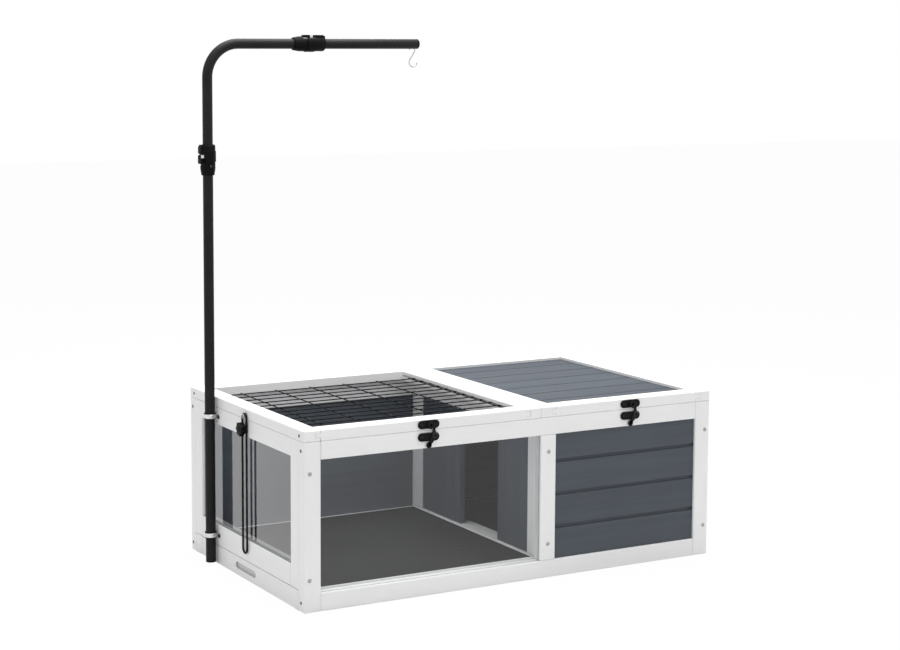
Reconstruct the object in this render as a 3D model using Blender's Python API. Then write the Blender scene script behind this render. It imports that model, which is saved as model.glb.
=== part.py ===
# Timber tortoise house with two rooms, two hinged lids, pull-out trays and a telescopic lamp pole.
# Metres, +Z up, +X to the right along the front, +Y to the back.
# The origin is the centre of the underside of the divider's bottom rail.

import math

import bmesh
import bpy
from mathutils import Matrix, Vector

# Clearances
GAP = 0.0003                 # between neighbouring pieces
OVERRUN = 0.004              # how far a cutter runs past what it cuts

# House
HOUSE_WIDTH = 1.000
HOUSE_DEPTH = 0.580
HOUSE_HEIGHT = 0.370
LID_SPLIT = 0.5575           # left side of the house to the joint between the lids
DIVIDER_PAST = 0.0005        # that joint to the middle of the divider
TIMBER_WIDE = 0.0375
TIMBER_THICK = 0.025
TIMBER_EDGE = 0.0014         # width of the eased edges
LID_THICK = 0.0225

# Panels
SETBACK = 0.00635            # face of a frame to the face of the panel in it
SHEET_THICK = 0.003          # clear acrylic
BOARD_THICK = 0.009          # painted boards
GROOVE_DEEP = 0.008          # groove in the frame that holds a panel
PANEL_SEAT = 0.006           # how far a panel reaches into its groove
LAP_COUNT = 3                # joints between the lap boards
LAP_BELOW = 0.0652           # bottom rail to the first joint
LAP_ABOVE = 0.0634           # last joint to the top rail
LAP_SHADOW = 0.0076          # open shadow joint above a lap board
LAP_DEEP = 0.0048            # depth of the shadow joint
LAP_SLOPE = 0.001

# Trays and floor runners
SIDE_OPENING = 0.0415        # height of the opening that a tray slides through
SIDE_RAIL_WIDE = 0.0475
RUNNER_WIDE = 0.0207
RUNNER_HIGH = 0.017
TRAY_FLOOR = 0.0057
TRAY_WALL = 0.012            # bearers under the tray's floor
TRAY_RIM = 0.003
TRAY_RECESS = 0.0028         # top of the rim to the tray's floor
TRAY_FOOT = 0.001            # clearance of the tray's front over the ground
LINER_THICK = 0.002
END_BLOCK_LONG = 0.0345
FINGER_LONG = 0.104
FINGER_HIGH = 0.0145
FINGER_DEEP = 0.005
FINGER_PLACE = 0.286         # front of the house to the recess's centre
FINGER_LEVEL = 0.02175       # height of the finger recess's centre

# Divider
DIVIDER_SILL = 0.044         # height of the divider's bottom rail
DIVIDER_FRONT_STILE = 0.027
DIVIDER_REAR_STILE = 0.040
DIVIDER_SETBACK = 0.0025     # left face of the divider's frame to its boards
DOOR_START = 0.179           # front of the house to the doorway
DOOR_WIDE = 0.163
DOOR_LINTEL = 0.0447         # top of the doorway to the frame's top rail
JAMB_WIDE = 0.027
JAMB_THICK = 0.012

# Lids
SLOT_RISE = 0.0062           # bottom of a lid to its slots and board grooves
SLOT_TALL = 0.0106
TONGUE_LONG = 0.012
BOARD_PITCH = 0.0767
ROOF_BOARDS = 7
BOARD_JOINT = 0.0008         # dark line between two roof boards
SEAM_DEEP = 0.0016           # depth of that line
MESH_RISE = 0.0121           # bottom of the lid to the middle of the mesh
MESH_WIRE = 0.0023
MESH_GROOVE = 0.0042
MESH_WELD = 0.0004           # how far crossing wires sink into each other
CROSS_WIRES = 12
CROSS_FRONT = 0.0295         # front rail of the mesh lid to the first cross wire
CROSS_BACK = 0.023           # last cross wire to the ends of the wires that cross it
DEPTH_WIRES = 6
DEPTH_SHORT = 0.0345         # ends of the wires that run front to back, to the lid's rear rail
DEPTH_EDGE = 0.003           # left rail of the lid to the edge wire
DEPTH_STEP = 0.050           # edge wire to the next one
DEPTH_LAST = 0.0035          # last such wire to the lid's right rail
WIRE_SIDES = 6

# Lid hinges
HINGE_LONG = 0.038
HINGE_LEAF = 0.0012
HINGE_TALL = 0.015
HINGE_BARREL = 0.0026        # radius
HINGE_PIN = 0.001            # radius
HINGE_STAND = 0.003          # rear face of the house to the hinge axis
HINGE_KNUCKLES = 3
MESH_HINGE_INSETS = (0.110, 0.1105)         # each end of the lid to the nearer hinge's centre
ROOF_HINGE_INSETS = (0.0925, 0.092)

# Latches
LATCH_PLATE_WIDE = 0.0495
LATCH_PLATE_HIGH = 0.0172
LATCH_PLATE_THICK = 0.002
LATCH_PAST = (0.004, 0.0058)                # middle of each lid to its plates' centre
KEEPER_DROP = 0.011          # top of the house to each plate's centre
BASE_DROP = 0.0368
BOSS_SIDE = 0.003            # the boss sits this far right of the plate's centre
BOSS_DROP = 0.0012
BOSS_RADIUS = 0.0072
BOSS_OUT = 0.008
BOSS_HOLE = 0.0026
HUB_SIDE = 0.01365
HUB_RISE = 0.0024
HUB_RADIUS = 0.0072
LEVER_THICK = 0.0026
STUD_RADIUS = 0.0025
STUD_HEAD = 0.0042
STUD_HEAD_THICK = 0.0012
ARM_SIDE = 0.0024            # hub to the tip of the arm
ARM_RISE = 0.0227
ARM_RADIUS = 0.0038
ARM_NECK = 0.0026
TAIL_SIDE = 0.0136
TAIL_DROP = 0.0194
TAIL_RADIUS = 0.0064
TAIL_NECK = 0.0034

# Lid stay
STAY_PLACE = 0.279           # front of the house to the stay
STAY_WIRE = 0.0045
STAY_WIDE = 0.021            # between the centres of the loop's two runs
STAY_OUT = 0.00365           # side of the house to the loop's centre plane
STAY_LOW = 0.0579
STAY_DROP = 0.0084           # top of the house to the top of the loop
STAY_PIN = 0.002             # radius
STAY_PIN_HEAD = 0.0046
STAY_HEAD_THICK = 0.0016
BOLT_DROP = 0.0425           # top of the house to the knob's bolt
BOLT_RADIUS = 0.003
BOLT_SUNK = 0.010
KNOB_RADIUS = 0.0155
KNOB_LOBES = 7
KNOB_LOBE_DEEP = 0.0016
KNOB_THICK = 0.0095
KNOB_HUB = 0.0125
KNOB_HUB_THICK = 0.0012

# Lamp pole
POLE_OUT = 0.014             # side of the house to the pole's axis
POLE_PLACE = 0.439           # front of the house to the pole's axis
POLE_RADIUS = 0.011
POLE_WALL = 0.0012
POLE_FOOT = 0.005
CAP_RIM = 0.003
CAP_PLUG = 0.012
SPIGOT_RADIUS = 0.0095
SPIGOT_LONG = 0.250
ARM_SPIGOT_SHARE = 0.5      # the arm's spigot, as a share of the mast's
POLE_CLAMP_LOW = 0.852
POLE_CLAMP_HIGH = 0.9177
TUBE_TOP = 0.905
BEND_RADIUS = 0.072
ARM_LEVEL = 1.1323
ARM_CLAMP_START = 0.188      # left side of the house to the arm's clamp
ARM_CLAMP_END = 0.2628
ARM_TUBE_END = 0.4955
ARM_CAP_RIM = 0.0039
ARM_CAP_PLUG = 0.0022
TUBE_STOP = 0.035            # start of the arm's clamp to the end of the bent tube

# Tube clamps, each with a flip lever on a white pin
CLAMP_RADIUS = 0.0163
CLAMP_BAND_RADIUS = 0.0176
CLAMP_END_RADIUS = 0.0140
CLAMP_TAPER = 0.014
CLAMP_ROUND = 0.003
CLAMP_FLAT = 0.0122          # tube axis to the flat under the lever
CLAMP_STEP = 0.0008
BAND_LOW = 0.030             # bottom of the clamp to its raised band
BAND_HIGH = 0.051
PIN_RISE = 0.0405            # bottom of the clamp to the pin
PIN_OUT = 0.016              # tube axis to the pin
PIN_RADIUS = 0.0018
PIN_HEAD_WIDE = 0.0066
PIN_HEAD_THICK = 0.0012
CLAMP_LUG_HALF = 0.003
CLAMP_LUG_LONG = 0.0032
CLAMP_LUG_HIGH = 0.0188      # tube axis to the top of the lug
CLAMP_BUMP_HIGH = 0.0192     # tube axis to the top of the bump behind the lever
CLAMP_BUMP_HALF = 0.0085
LEVER_HALF = 0.0085
LEVER_CAM = 0.0034
LEVER_LONG = 0.0135
LEVER_TIP = 0.0029
LEVER_TIP_OUT = 0.0166

# Swivel bush at the top of the lower tube
BUSH_LONG = 0.0115

# Pole clips
CLIP_LEVEL = 0.0654          # underside of the lower clip
CLIP_DROP = 0.0414           # top of the house to the underside of the upper one
CLIP_HIGH = 0.009
CLIP_BAND = 0.0009
CLIP_EAR_THICK = 0.0018
CLIP_EAR_END = 0.0254        # pole axis to the end of the ear
RUBBER_THICK = 0.0012
RUBBER_HIGH = 0.013

# S-hook
HOOK_WIRE = 0.00125          # radius
HOOK_HOLE = 0.0022           # radius of the two holes under the arm
HOOK_PLACE = 0.4913          # left side of the house to the outer hole
HOOK_TOP_RADIUS = 0.0064
HOOK_STUB = 0.0028
HOOK_LOOP_RADIUS = 0.0099
HOOK_LOOP_DROP = 0.0411      # arm's axis to the centre of the open loop
HOOK_LOOP_SHIFT = 0.0041     # outer hole to the centre of the open loop
HOOK_LEAD = 0.022

# Facets of round forms
ROUND_STEPS = 8
FINGER_STEPS = 8
BARREL_STEPS = 8
BEND_STEPS = 10
LOBE_STEPS = 6
TUBE_SIDES = 20
PIN_SIDES = 12
STAY_SIDES = 8
HOOK_SIDES = 8

# Planes of the house
ROOM_SPLIT = LID_SPLIT + DIVIDER_PAST
LEFT = -(ROOM_SPLIT + TIMBER_WIDE / 2)
RIGHT = LEFT + HOUSE_WIDTH
FRONT = -HOUSE_DEPTH / 2
BACK = FRONT + HOUSE_DEPTH
FRAME_TOP = HOUSE_HEIGHT - LID_THICK - GAP
RAIL_LOW = FRAME_TOP - TIMBER_WIDE
DIVIDER_LEFT = LEFT + ROOM_SPLIT
DIVIDER_RIGHT = DIVIDER_LEFT + TIMBER_WIDE
INNER_FRONT = FRONT + TIMBER_THICK
INNER_BACK = BACK - TIMBER_THICK
INNER_LEFT = LEFT + TIMBER_THICK
INNER_RIGHT = RIGHT - TIMBER_THICK
LID_LOW = HOUSE_HEIGHT - LID_THICK
SLOT_LOW = LID_LOW + SLOT_RISE
SLOT_HIGH = SLOT_LOW + SLOT_TALL
MESH_LEVEL = LID_LOW + MESH_RISE
STAY_HIGH = HOUSE_HEIGHT - STAY_DROP
BOLT_LEVEL = HOUSE_HEIGHT - BOLT_DROP
DOOR_TOP = RAIL_LOW - DOOR_LINTEL
LAP_FIRST = TIMBER_WIDE + LAP_BELOW
LAP_PITCH = (RAIL_LOW - LAP_ABOVE - LAP_FIRST) / (LAP_COUNT - 1)
HINGE_Y = BACK + HINGE_STAND
POLE_X = LEFT - POLE_OUT
POLE_Y = FRONT + POLE_PLACE

# Materials: colour, roughness, metallic
WHITE_PAINT = ("white_paint", (0.72, 0.72, 0.72), 0.55, 0.0)
SLATE_PAINT = ("slate_paint", (0.115, 0.135, 0.165), 0.6, 0.0)
CLEAR_ACRYLIC = ("clear_acrylic", (0.62, 0.66, 0.68), 0.05, 0.0)
DARK_LINER = ("dark_liner", (0.045, 0.045, 0.047), 0.8, 0.0)
BLACK_METAL = ("black_metal", (0.022, 0.022, 0.022), 0.4, 0.6)
BLACK_PLASTIC = ("black_plastic", (0.012, 0.012, 0.012), 0.5, 0.0)
WHITE_NYLON = ("white_nylon", (0.75, 0.75, 0.75), 0.4, 0.0)
BRIGHT_STEEL = ("bright_steel", (0.62, 0.62, 0.62), 0.3, 1.0)


# Helpers

def clear_scene():
    for item in list(bpy.data.objects):
        bpy.data.objects.remove(item, do_unlink=True)


def material_for(values):
    name, colour, roughness, metallic = values
    material = bpy.data.materials.get(name)
    if material is None:
        material = bpy.data.materials.new(name)
        material.use_nodes = True
        shader = material.node_tree.nodes["Principled BSDF"]
        shader.inputs["Base Color"].default_value = (*colour, 1)
        shader.inputs["Roughness"].default_value = roughness
        shader.inputs["Metallic"].default_value = metallic
    return material


# A closed box between two corners.
def add_box(shape, low, high):
    low = Vector(low)
    high = Vector(high)
    size = high - low
    matrix = Matrix.Translation((low + high) / 2) @ Matrix.Diagonal((*size, 1))
    bmesh.ops.create_cube(shape, size=1, matrix=matrix)


# Puts an outline's point (u, v) at distance w along an axis.
def on_axis(axis, w, u, v):
    places = {"x": (w, u, v), "y": (u, w, v), "z": (u, v, w)}
    return Vector(places[axis])


# A closed outline run along an axis from low to high.
def add_prism(shape, outline, axis, low, high):
    starts = [shape.verts.new(on_axis(axis, low, u, v)) for u, v in outline]
    face = shape.faces.new(starts)
    made = bmesh.ops.extrude_face_region(shape, geom=[face])
    moved = [item for item in made["geom"] if isinstance(item, bmesh.types.BMVert)]
    bmesh.ops.translate(shape, vec=on_axis(axis, high - low, 0, 0), verts=moved)


# Points of an arc round (u, v), both ends included.
def arc(centre, radius, start, end, steps):
    points = []
    for step in range(steps + 1):
        angle = start + (end - start) * step / steps
        points.append((centre[0] + radius * math.cos(angle), centre[1] + radius * math.sin(angle)))
    return points


def circle(centre, radius, sides):
    return arc(centre, radius, 0, 2 * math.pi * (sides - 1) / sides, sides - 1)


# The outline of a link: two discs and the straight sides that touch both.
def link(start, start_radius, end, end_radius, steps):
    along = math.atan2(end[1] - start[1], end[0] - start[0])
    distance = math.hypot(end[0] - start[0], end[1] - start[1])
    lean = math.acos((start_radius - end_radius) / distance)
    tail = arc(start, start_radius, along + lean, along + 2 * math.pi - lean, steps)
    head = arc(end, end_radius, along - lean, along + lean, steps)
    return tail + head


# A round pin between two points, with a radius at each end.
def add_pin(shape, start, end, radius, sides):
    start = Vector(start)
    end = Vector(end)
    turn = (end - start).to_track_quat("Z", "Y").to_matrix().to_4x4()
    matrix = Matrix.Translation((start + end) / 2) @ turn
    bmesh.ops.create_cone(
        shape, cap_ends=True, segments=sides, radius1=radius, radius2=radius,
        depth=(end - start).length, matrix=matrix)


# A tube swept through (point, outer radius, inner radius) stations; an inner radius of None is solid.
def add_tube(shape, stations, sides, side_axis):
    side_axis = Vector(side_axis)
    count = len(stations)
    outer_rings = []
    inner_rings = []
    for index, (point, outer, inner) in enumerate(stations):
        before = Vector(stations[max(index - 1, 0)][0])
        after = Vector(stations[min(index + 1, count - 1)][0])
        along = (after - before).normalized()
        across = along.cross(side_axis).normalized()
        for radius, rings in ((outer, outer_rings), (inner, inner_rings)):
            if radius is None:
                continue
            ring = []
            for side in range(sides):
                angle = 2 * math.pi * side / sides
                offset = side_axis * math.cos(angle) + across * math.sin(angle)
                ring.append(shape.verts.new(Vector(point) + offset * radius))
            rings.append(ring)
    bridge_rings(shape, outer_rings)
    if inner_rings:
        bridge_rings(shape, inner_rings)
        bridge_rings(shape, (outer_rings[0], inner_rings[0]))
        bridge_rings(shape, (outer_rings[-1], inner_rings[-1]))
    else:
        shape.faces.new(outer_rings[0])
        shape.faces.new(outer_rings[-1])


def bridge_rings(shape, rings):
    for first, second in zip(rings, rings[1:]):
        count = len(first)
        for side in range(count):
            after = (side + 1) % count
            shape.faces.new((first[side], first[after], second[after], second[side]))


# A turned piece: (radius, height) points from the axis and back to it, round a centre along an axis.
def add_turned(shape, profile, centre, axis, sides):
    centre = Vector(centre)
    turn = Vector(axis).to_track_quat("Z", "Y").to_matrix()
    points = [centre + turn @ Vector((radius, 0, height)) for radius, height in profile]
    verts = [shape.verts.new(point) for point in points]
    edges = [shape.edges.new(pair) for pair in zip(verts, verts[1:])]
    bmesh.ops.spin(
        shape, geom=verts + edges, cent=centre, axis=turn @ Vector((0, 0, 1)),
        angle=2 * math.pi, steps=sides, use_merge=True)
    bmesh.ops.remove_doubles(shape, verts=shape.verts, dist=GAP / 10)


def new_shape():
    return bmesh.new()


def object_from(name, shape):
    bmesh.ops.recalc_face_normals(shape, faces=shape.faces)
    mesh = bpy.data.meshes.new(name)
    shape.to_mesh(mesh)
    shape.free()
    item = bpy.data.objects.new(name, mesh)
    bpy.context.scene.collection.objects.link(item)
    return item


def piece(name, shape, material, edge=0, smooth=False):
    item = object_from(name, shape)
    item.data.materials.append(material_for(material))
    if smooth:
        item.data.shade_smooth()
        item.data.set_sharp_from_angle(angle=math.radians(40))
    if edge:
        ease = item.modifiers.new("eased edges", "BEVEL")
        ease.width = edge
        ease.segments = 1
        ease.limit_method = "ANGLE"
        ease.angle_limit = math.radians(40)
    return item


# Joins a second shape to a piece, or cuts it out of the piece.
def combine(item, shape, operation):
    tool = object_from(item.name + "_" + operation.lower(), shape)
    tool.hide_render = True
    tool.display_type = "WIRE"
    change = item.modifiers.new(operation.lower(), "BOOLEAN")
    change.operation = operation
    change.solver = "EXACT"
    change.object = tool


def cut(item, shape):
    combine(item, shape, "DIFFERENCE")


def unite(item, shape):
    combine(item, shape, "UNION")


def pivot(name, place):
    empty = bpy.data.objects.new(name, None)
    empty.location = place
    bpy.context.scene.collection.objects.link(empty)
    return empty


# Hangs pieces on a pivot and leaves them where they are.
def hang(empty, items):
    for item in items:
        item.parent = empty
        item.matrix_parent_inverse = Matrix.Translation(-empty.location)


# House frame

def front_frame():
    post_spans = (
        ("front_left_post", LEFT, LEFT + TIMBER_WIDE, 0, FRAME_TOP),
        ("front_mid_post", DIVIDER_LEFT, DIVIDER_RIGHT, TIMBER_WIDE + GAP, RAIL_LOW - GAP),
        ("front_right_post", RIGHT - TIMBER_WIDE, RIGHT, 0, FRAME_TOP))
    rail_start = LEFT + TIMBER_WIDE + GAP
    rail_end = RIGHT - TIMBER_WIDE - GAP
    rail_spans = (
        ("front_bottom_rail", rail_start, rail_end, 0, TIMBER_WIDE),
        ("front_top_rail", rail_start, rail_end, RAIL_LOW, FRAME_TOP))
    for name, start, end, low, high in post_spans + rail_spans:
        shape = new_shape()
        add_box(shape, (start, FRONT, low), (end, INNER_FRONT, high))
        item = piece(name, shape, WHITE_PAINT, TIMBER_EDGE)
        cut(item, front_grooves())


# The two panel openings of the front and back frames, as (left, right).
def room_openings():
    return (
        (LEFT + TIMBER_WIDE, DIVIDER_LEFT),
        (DIVIDER_RIGHT, RIGHT - TIMBER_WIDE))


def front_grooves():
    shape = new_shape()
    thicknesses = (SHEET_THICK, BOARD_THICK)
    for (start, end), thick in zip(room_openings(), thicknesses):
        add_box(
            shape,
            (start - GROOVE_DEEP, FRONT + SETBACK - GAP, TIMBER_WIDE - GROOVE_DEEP),
            (end + GROOVE_DEEP, FRONT + SETBACK + thick + GAP, RAIL_LOW + GROOVE_DEEP))
    return shape


# The back frame's posts and rails are glued up as one. Its panel runs through behind the middle post.
def rear_frame():
    shape = new_shape()
    add_box(shape, (LEFT, INNER_BACK, 0), (RIGHT, BACK, FRAME_TOP))
    frame = piece("rear_frame", shape, WHITE_PAINT, TIMBER_EDGE)
    openings = new_shape()
    for start, end in room_openings():
        add_box(
            openings, (start, INNER_BACK - OVERRUN, TIMBER_WIDE), (end, BACK + OVERRUN, RAIL_LOW))
    cut(frame, openings)
    groove = new_shape()
    add_box(
        groove,
        (LEFT + TIMBER_WIDE - GROOVE_DEEP, INNER_BACK + SETBACK - GAP, TIMBER_WIDE - GROOVE_DEEP),
        (RIGHT - TIMBER_WIDE + GROOVE_DEEP, INNER_BACK + SETBACK + BOARD_THICK + GAP,
         RAIL_LOW + GROOVE_DEEP))
    cut(frame, groove)
    panel = new_shape()
    add_box(
        panel,
        (LEFT + TIMBER_WIDE - PANEL_SEAT, INNER_BACK + SETBACK, TIMBER_WIDE - PANEL_SEAT),
        (RIGHT - TIMBER_WIDE + PANEL_SEAT, INNER_BACK + SETBACK + BOARD_THICK, RAIL_LOW + PANEL_SEAT))
    piece("back_panel", panel, SLATE_PAINT)
    return frame


# The left side frame has two stiles and two rails, over the opening for the tray.
def left_side_frame():
    low = SIDE_OPENING + GAP
    spans = (
        ("left_front_stile", INNER_FRONT + GAP, side_front(), low, FRAME_TOP),
        ("left_rear_stile", side_back(), INNER_BACK - GAP, low, FRAME_TOP),
        ("left_lower_rail", side_front() + GAP, side_back() - GAP, low, side_low()),
        ("left_top_rail", side_front() + GAP, side_back() - GAP, RAIL_LOW, FRAME_TOP))
    for name, near, far, bottom, top in spans:
        shape = new_shape()
        add_box(shape, (LEFT, near, bottom), (INNER_LEFT, far, top))
        item = piece(name, shape, WHITE_PAINT, TIMBER_EDGE)
        cut(item, side_groove(LEFT + SETBACK, SHEET_THICK))
        if name == "left_top_rail":
            hole = new_shape()
            add_pin(
                hole, (LEFT - OVERRUN, stay_y(), BOLT_LEVEL),
                (LEFT + BOLT_SUNK + GAP, stay_y(), BOLT_LEVEL), BOLT_RADIUS + GAP, TUBE_SIDES)
            cut(item, hole)


def right_side_frame():
    low = SIDE_OPENING + GAP
    shape = new_shape()
    add_box(shape, (INNER_RIGHT, INNER_FRONT + GAP, low), (RIGHT, INNER_BACK - GAP, FRAME_TOP))
    frame = piece("right_side_frame", shape, WHITE_PAINT, TIMBER_EDGE)
    opening = new_shape()
    add_box(
        opening, (INNER_RIGHT - OVERRUN, side_front(), side_low()),
        (RIGHT + OVERRUN, side_back(), RAIL_LOW))
    cut(frame, opening)
    cut(frame, side_groove(RIGHT - SETBACK - BOARD_THICK, BOARD_THICK))


def side_groove(start, thick):
    shape = new_shape()
    add_box(
        shape, (start - GAP, side_front() - GROOVE_DEEP, side_low() - GROOVE_DEEP),
        (start + thick + GAP, side_back() + GROOVE_DEEP, RAIL_LOW + GROOVE_DEEP))
    return shape


def side_front():
    return INNER_FRONT + TIMBER_WIDE


def side_back():
    return INNER_BACK - TIMBER_WIDE


def side_low():
    return SIDE_OPENING + SIDE_RAIL_WIDE


def stay_y():
    return FRONT + STAY_PLACE


# Panels

def windows():
    start, end = room_openings()[0]
    shape = new_shape()
    add_box(
        shape, (start - PANEL_SEAT, FRONT + SETBACK, TIMBER_WIDE - PANEL_SEAT),
        (end + PANEL_SEAT, FRONT + SETBACK + SHEET_THICK, RAIL_LOW + PANEL_SEAT))
    piece("front_window", shape, CLEAR_ACRYLIC)
    shape = new_shape()
    add_box(
        shape, (LEFT + SETBACK, side_front() - PANEL_SEAT, side_low() - PANEL_SEAT),
        (LEFT + SETBACK + SHEET_THICK, side_back() + PANEL_SEAT, RAIL_LOW + PANEL_SEAT))
    piece("side_window", shape, CLEAR_ACRYLIC)


# Height of the top edge of each lap board but the highest.
def lap_joints():
    return [LAP_FIRST + LAP_PITCH * index for index in range(LAP_COUNT)]



# Lap boards glued into one panel, as (depth from the face, height): a shadow joint opens between two boards.
def lap_outline(low, high, joints):
    outline = [(BOARD_THICK, high + PANEL_SEAT), (BOARD_THICK, low - PANEL_SEAT), (0, low - PANEL_SEAT)]
    for joint in joints:
        outline += [
            (0, joint), (LAP_DEEP - LAP_SLOPE, joint),
            (LAP_DEEP, joint + LAP_SHADOW), (0, joint + LAP_SHADOW)]
    outline.append((0, high + PANEL_SEAT))
    return outline


def lap_boards():
    start, end = room_openings()[1]
    shape = new_shape()
    profile = lap_outline(TIMBER_WIDE, RAIL_LOW, lap_joints())
    outline = [(FRONT + SETBACK + depth, height) for depth, height in profile]
    add_prism(shape, outline, "x", start - PANEL_SEAT, end + PANEL_SEAT)
    piece("front_boards", shape, SLATE_PAINT)
    shape = new_shape()
    profile = lap_outline(side_low(), RAIL_LOW, lap_joints()[1:])
    outline = [(RIGHT - SETBACK - depth, height) for depth, height in profile]
    add_prism(shape, outline, "y", side_front() - PANEL_SEAT, side_back() + PANEL_SEAT)
    piece("right_side_boards", shape, SLATE_PAINT)


# Divider between the rooms, with a doorway

def runner_spans():
    return (
        (INNER_FRONT + GAP, INNER_FRONT + RUNNER_WIDE),
        (INNER_BACK - RUNNER_WIDE, INNER_BACK - GAP))


# An upright plank with a notch in its underside over each floor runner that it crosses.
def notched_outline(start, end, low, high):
    outline = [(start, high)]
    near, far = runner_spans()
    top = RUNNER_HIGH + GAP
    if start < near[1]:
        outline += [(start, top), (near[1] + GAP, top), (near[1] + GAP, low)]
    else:
        outline += [(start, low)]
    if end > far[0]:
        outline += [(far[0] - GAP, low), (far[0] - GAP, top), (end, top)]
    else:
        outline += [(end, low)]
    outline += [(end, high)]
    return outline


def divider():
    start = INNER_FRONT + GAP
    end = INNER_BACK - GAP
    stile_front = start + DIVIDER_FRONT_STILE
    stile_back = end - DIVIDER_REAR_STILE
    shape = new_shape()
    outline = notched_outline(start, end, 0, DIVIDER_SILL)
    add_prism(shape, outline, "x", DIVIDER_LEFT, DIVIDER_RIGHT)
    sill = piece("divider_bottom_rail", shape, WHITE_PAINT)
    cut(sill, sill_grooves(stile_front, stile_back))
    shape = new_shape()
    low = DIVIDER_SILL + GAP
    add_box(shape, (DIVIDER_LEFT, start, low), (DIVIDER_RIGHT, end, FRAME_TOP))
    frame = piece("divider_frame", shape, WHITE_PAINT, TIMBER_EDGE)
    opening = new_shape()
    add_box(
        opening, (DIVIDER_LEFT - OVERRUN, stile_front, low - OVERRUN),
        (DIVIDER_RIGHT + OVERRUN, stile_back, RAIL_LOW))
    cut(frame, opening)
    groove = new_shape()
    board_start = DIVIDER_LEFT + DIVIDER_SETBACK
    add_box(
        groove,
        (board_start - GAP, stile_front - GROOVE_DEEP, low - OVERRUN),
        (board_start + BOARD_THICK + GAP, stile_back + GROOVE_DEEP, RAIL_LOW + GROOVE_DEEP))
    cut(frame, groove)
    divider_boards(stile_front, stile_back)


# The sill has a groove on each side of the doorway and none across it.
def sill_grooves(stile_front, stile_back):
    shape = new_shape()
    start = DIVIDER_LEFT + DIVIDER_SETBACK
    door_front = FRONT + DOOR_START - JAMB_WIDE
    door_back = FRONT + DOOR_START + DOOR_WIDE + JAMB_WIDE
    for near, far in ((stile_front - GROOVE_DEEP, door_front), (door_back, stile_back + GROOVE_DEEP)):
        add_box(
            shape,
            (start - GAP, near, DIVIDER_SILL - GROOVE_DEEP),
            (start + BOARD_THICK + GAP, far, DIVIDER_SILL + OVERRUN))
    return shape


# The boards between the rooms, with a doorway and a thicker jamb on each side of it.
def divider_boards(stile_front, stile_back):
    start = DIVIDER_LEFT + DIVIDER_SETBACK
    end = start + BOARD_THICK
    low = DIVIDER_SILL - PANEL_SEAT
    high = RAIL_LOW + PANEL_SEAT
    door_front = FRONT + DOOR_START
    door_back = door_front + DOOR_WIDE
    jamb_front = door_front - JAMB_WIDE
    jamb_back = door_back + JAMB_WIDE
    base = DIVIDER_SILL + GAP
    outline = (
        (stile_front - PANEL_SEAT, low), (jamb_front - GAP, low), (jamb_front - GAP, base),
        (door_front, base), (door_front, DOOR_TOP), (door_back, DOOR_TOP), (door_back, base),
        (jamb_back + GAP, base), (jamb_back + GAP, low),
        (stile_back + PANEL_SEAT, low), (stile_back + PANEL_SEAT, high),
        (stile_front - PANEL_SEAT, high))
    shape = new_shape()
    add_prism(shape, outline, "x", start, end)
    boards = piece("divider_boards", shape, SLATE_PAINT)
    jambs = new_shape()
    jamb_end = start + JAMB_THICK
    middle = (start + end) / 2
    add_box(jambs, (middle, jamb_front, base), (jamb_end, door_front, DOOR_TOP))
    add_box(jambs, (middle, door_back, base), (jamb_end, jamb_back, DOOR_TOP))
    unite(boards, jambs)
    seams = new_shape()
    for near in (jamb_front, jamb_back - BOARD_JOINT):
        add_box(
            seams, (start - OVERRUN, near, base - OVERRUN),
            (start + SEAM_DEEP, near + BOARD_JOINT, RAIL_LOW + OVERRUN))
    cut(boards, seams)


# Floor

def floor_runners():
    for name, (start, end) in zip(("front_runner", "rear_runner"), runner_spans()):
        shape = new_shape()
        add_box(shape, (LEFT, start, 0), (RIGHT, end, RUNNER_HIGH))
        piece(name, shape, WHITE_PAINT)


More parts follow.
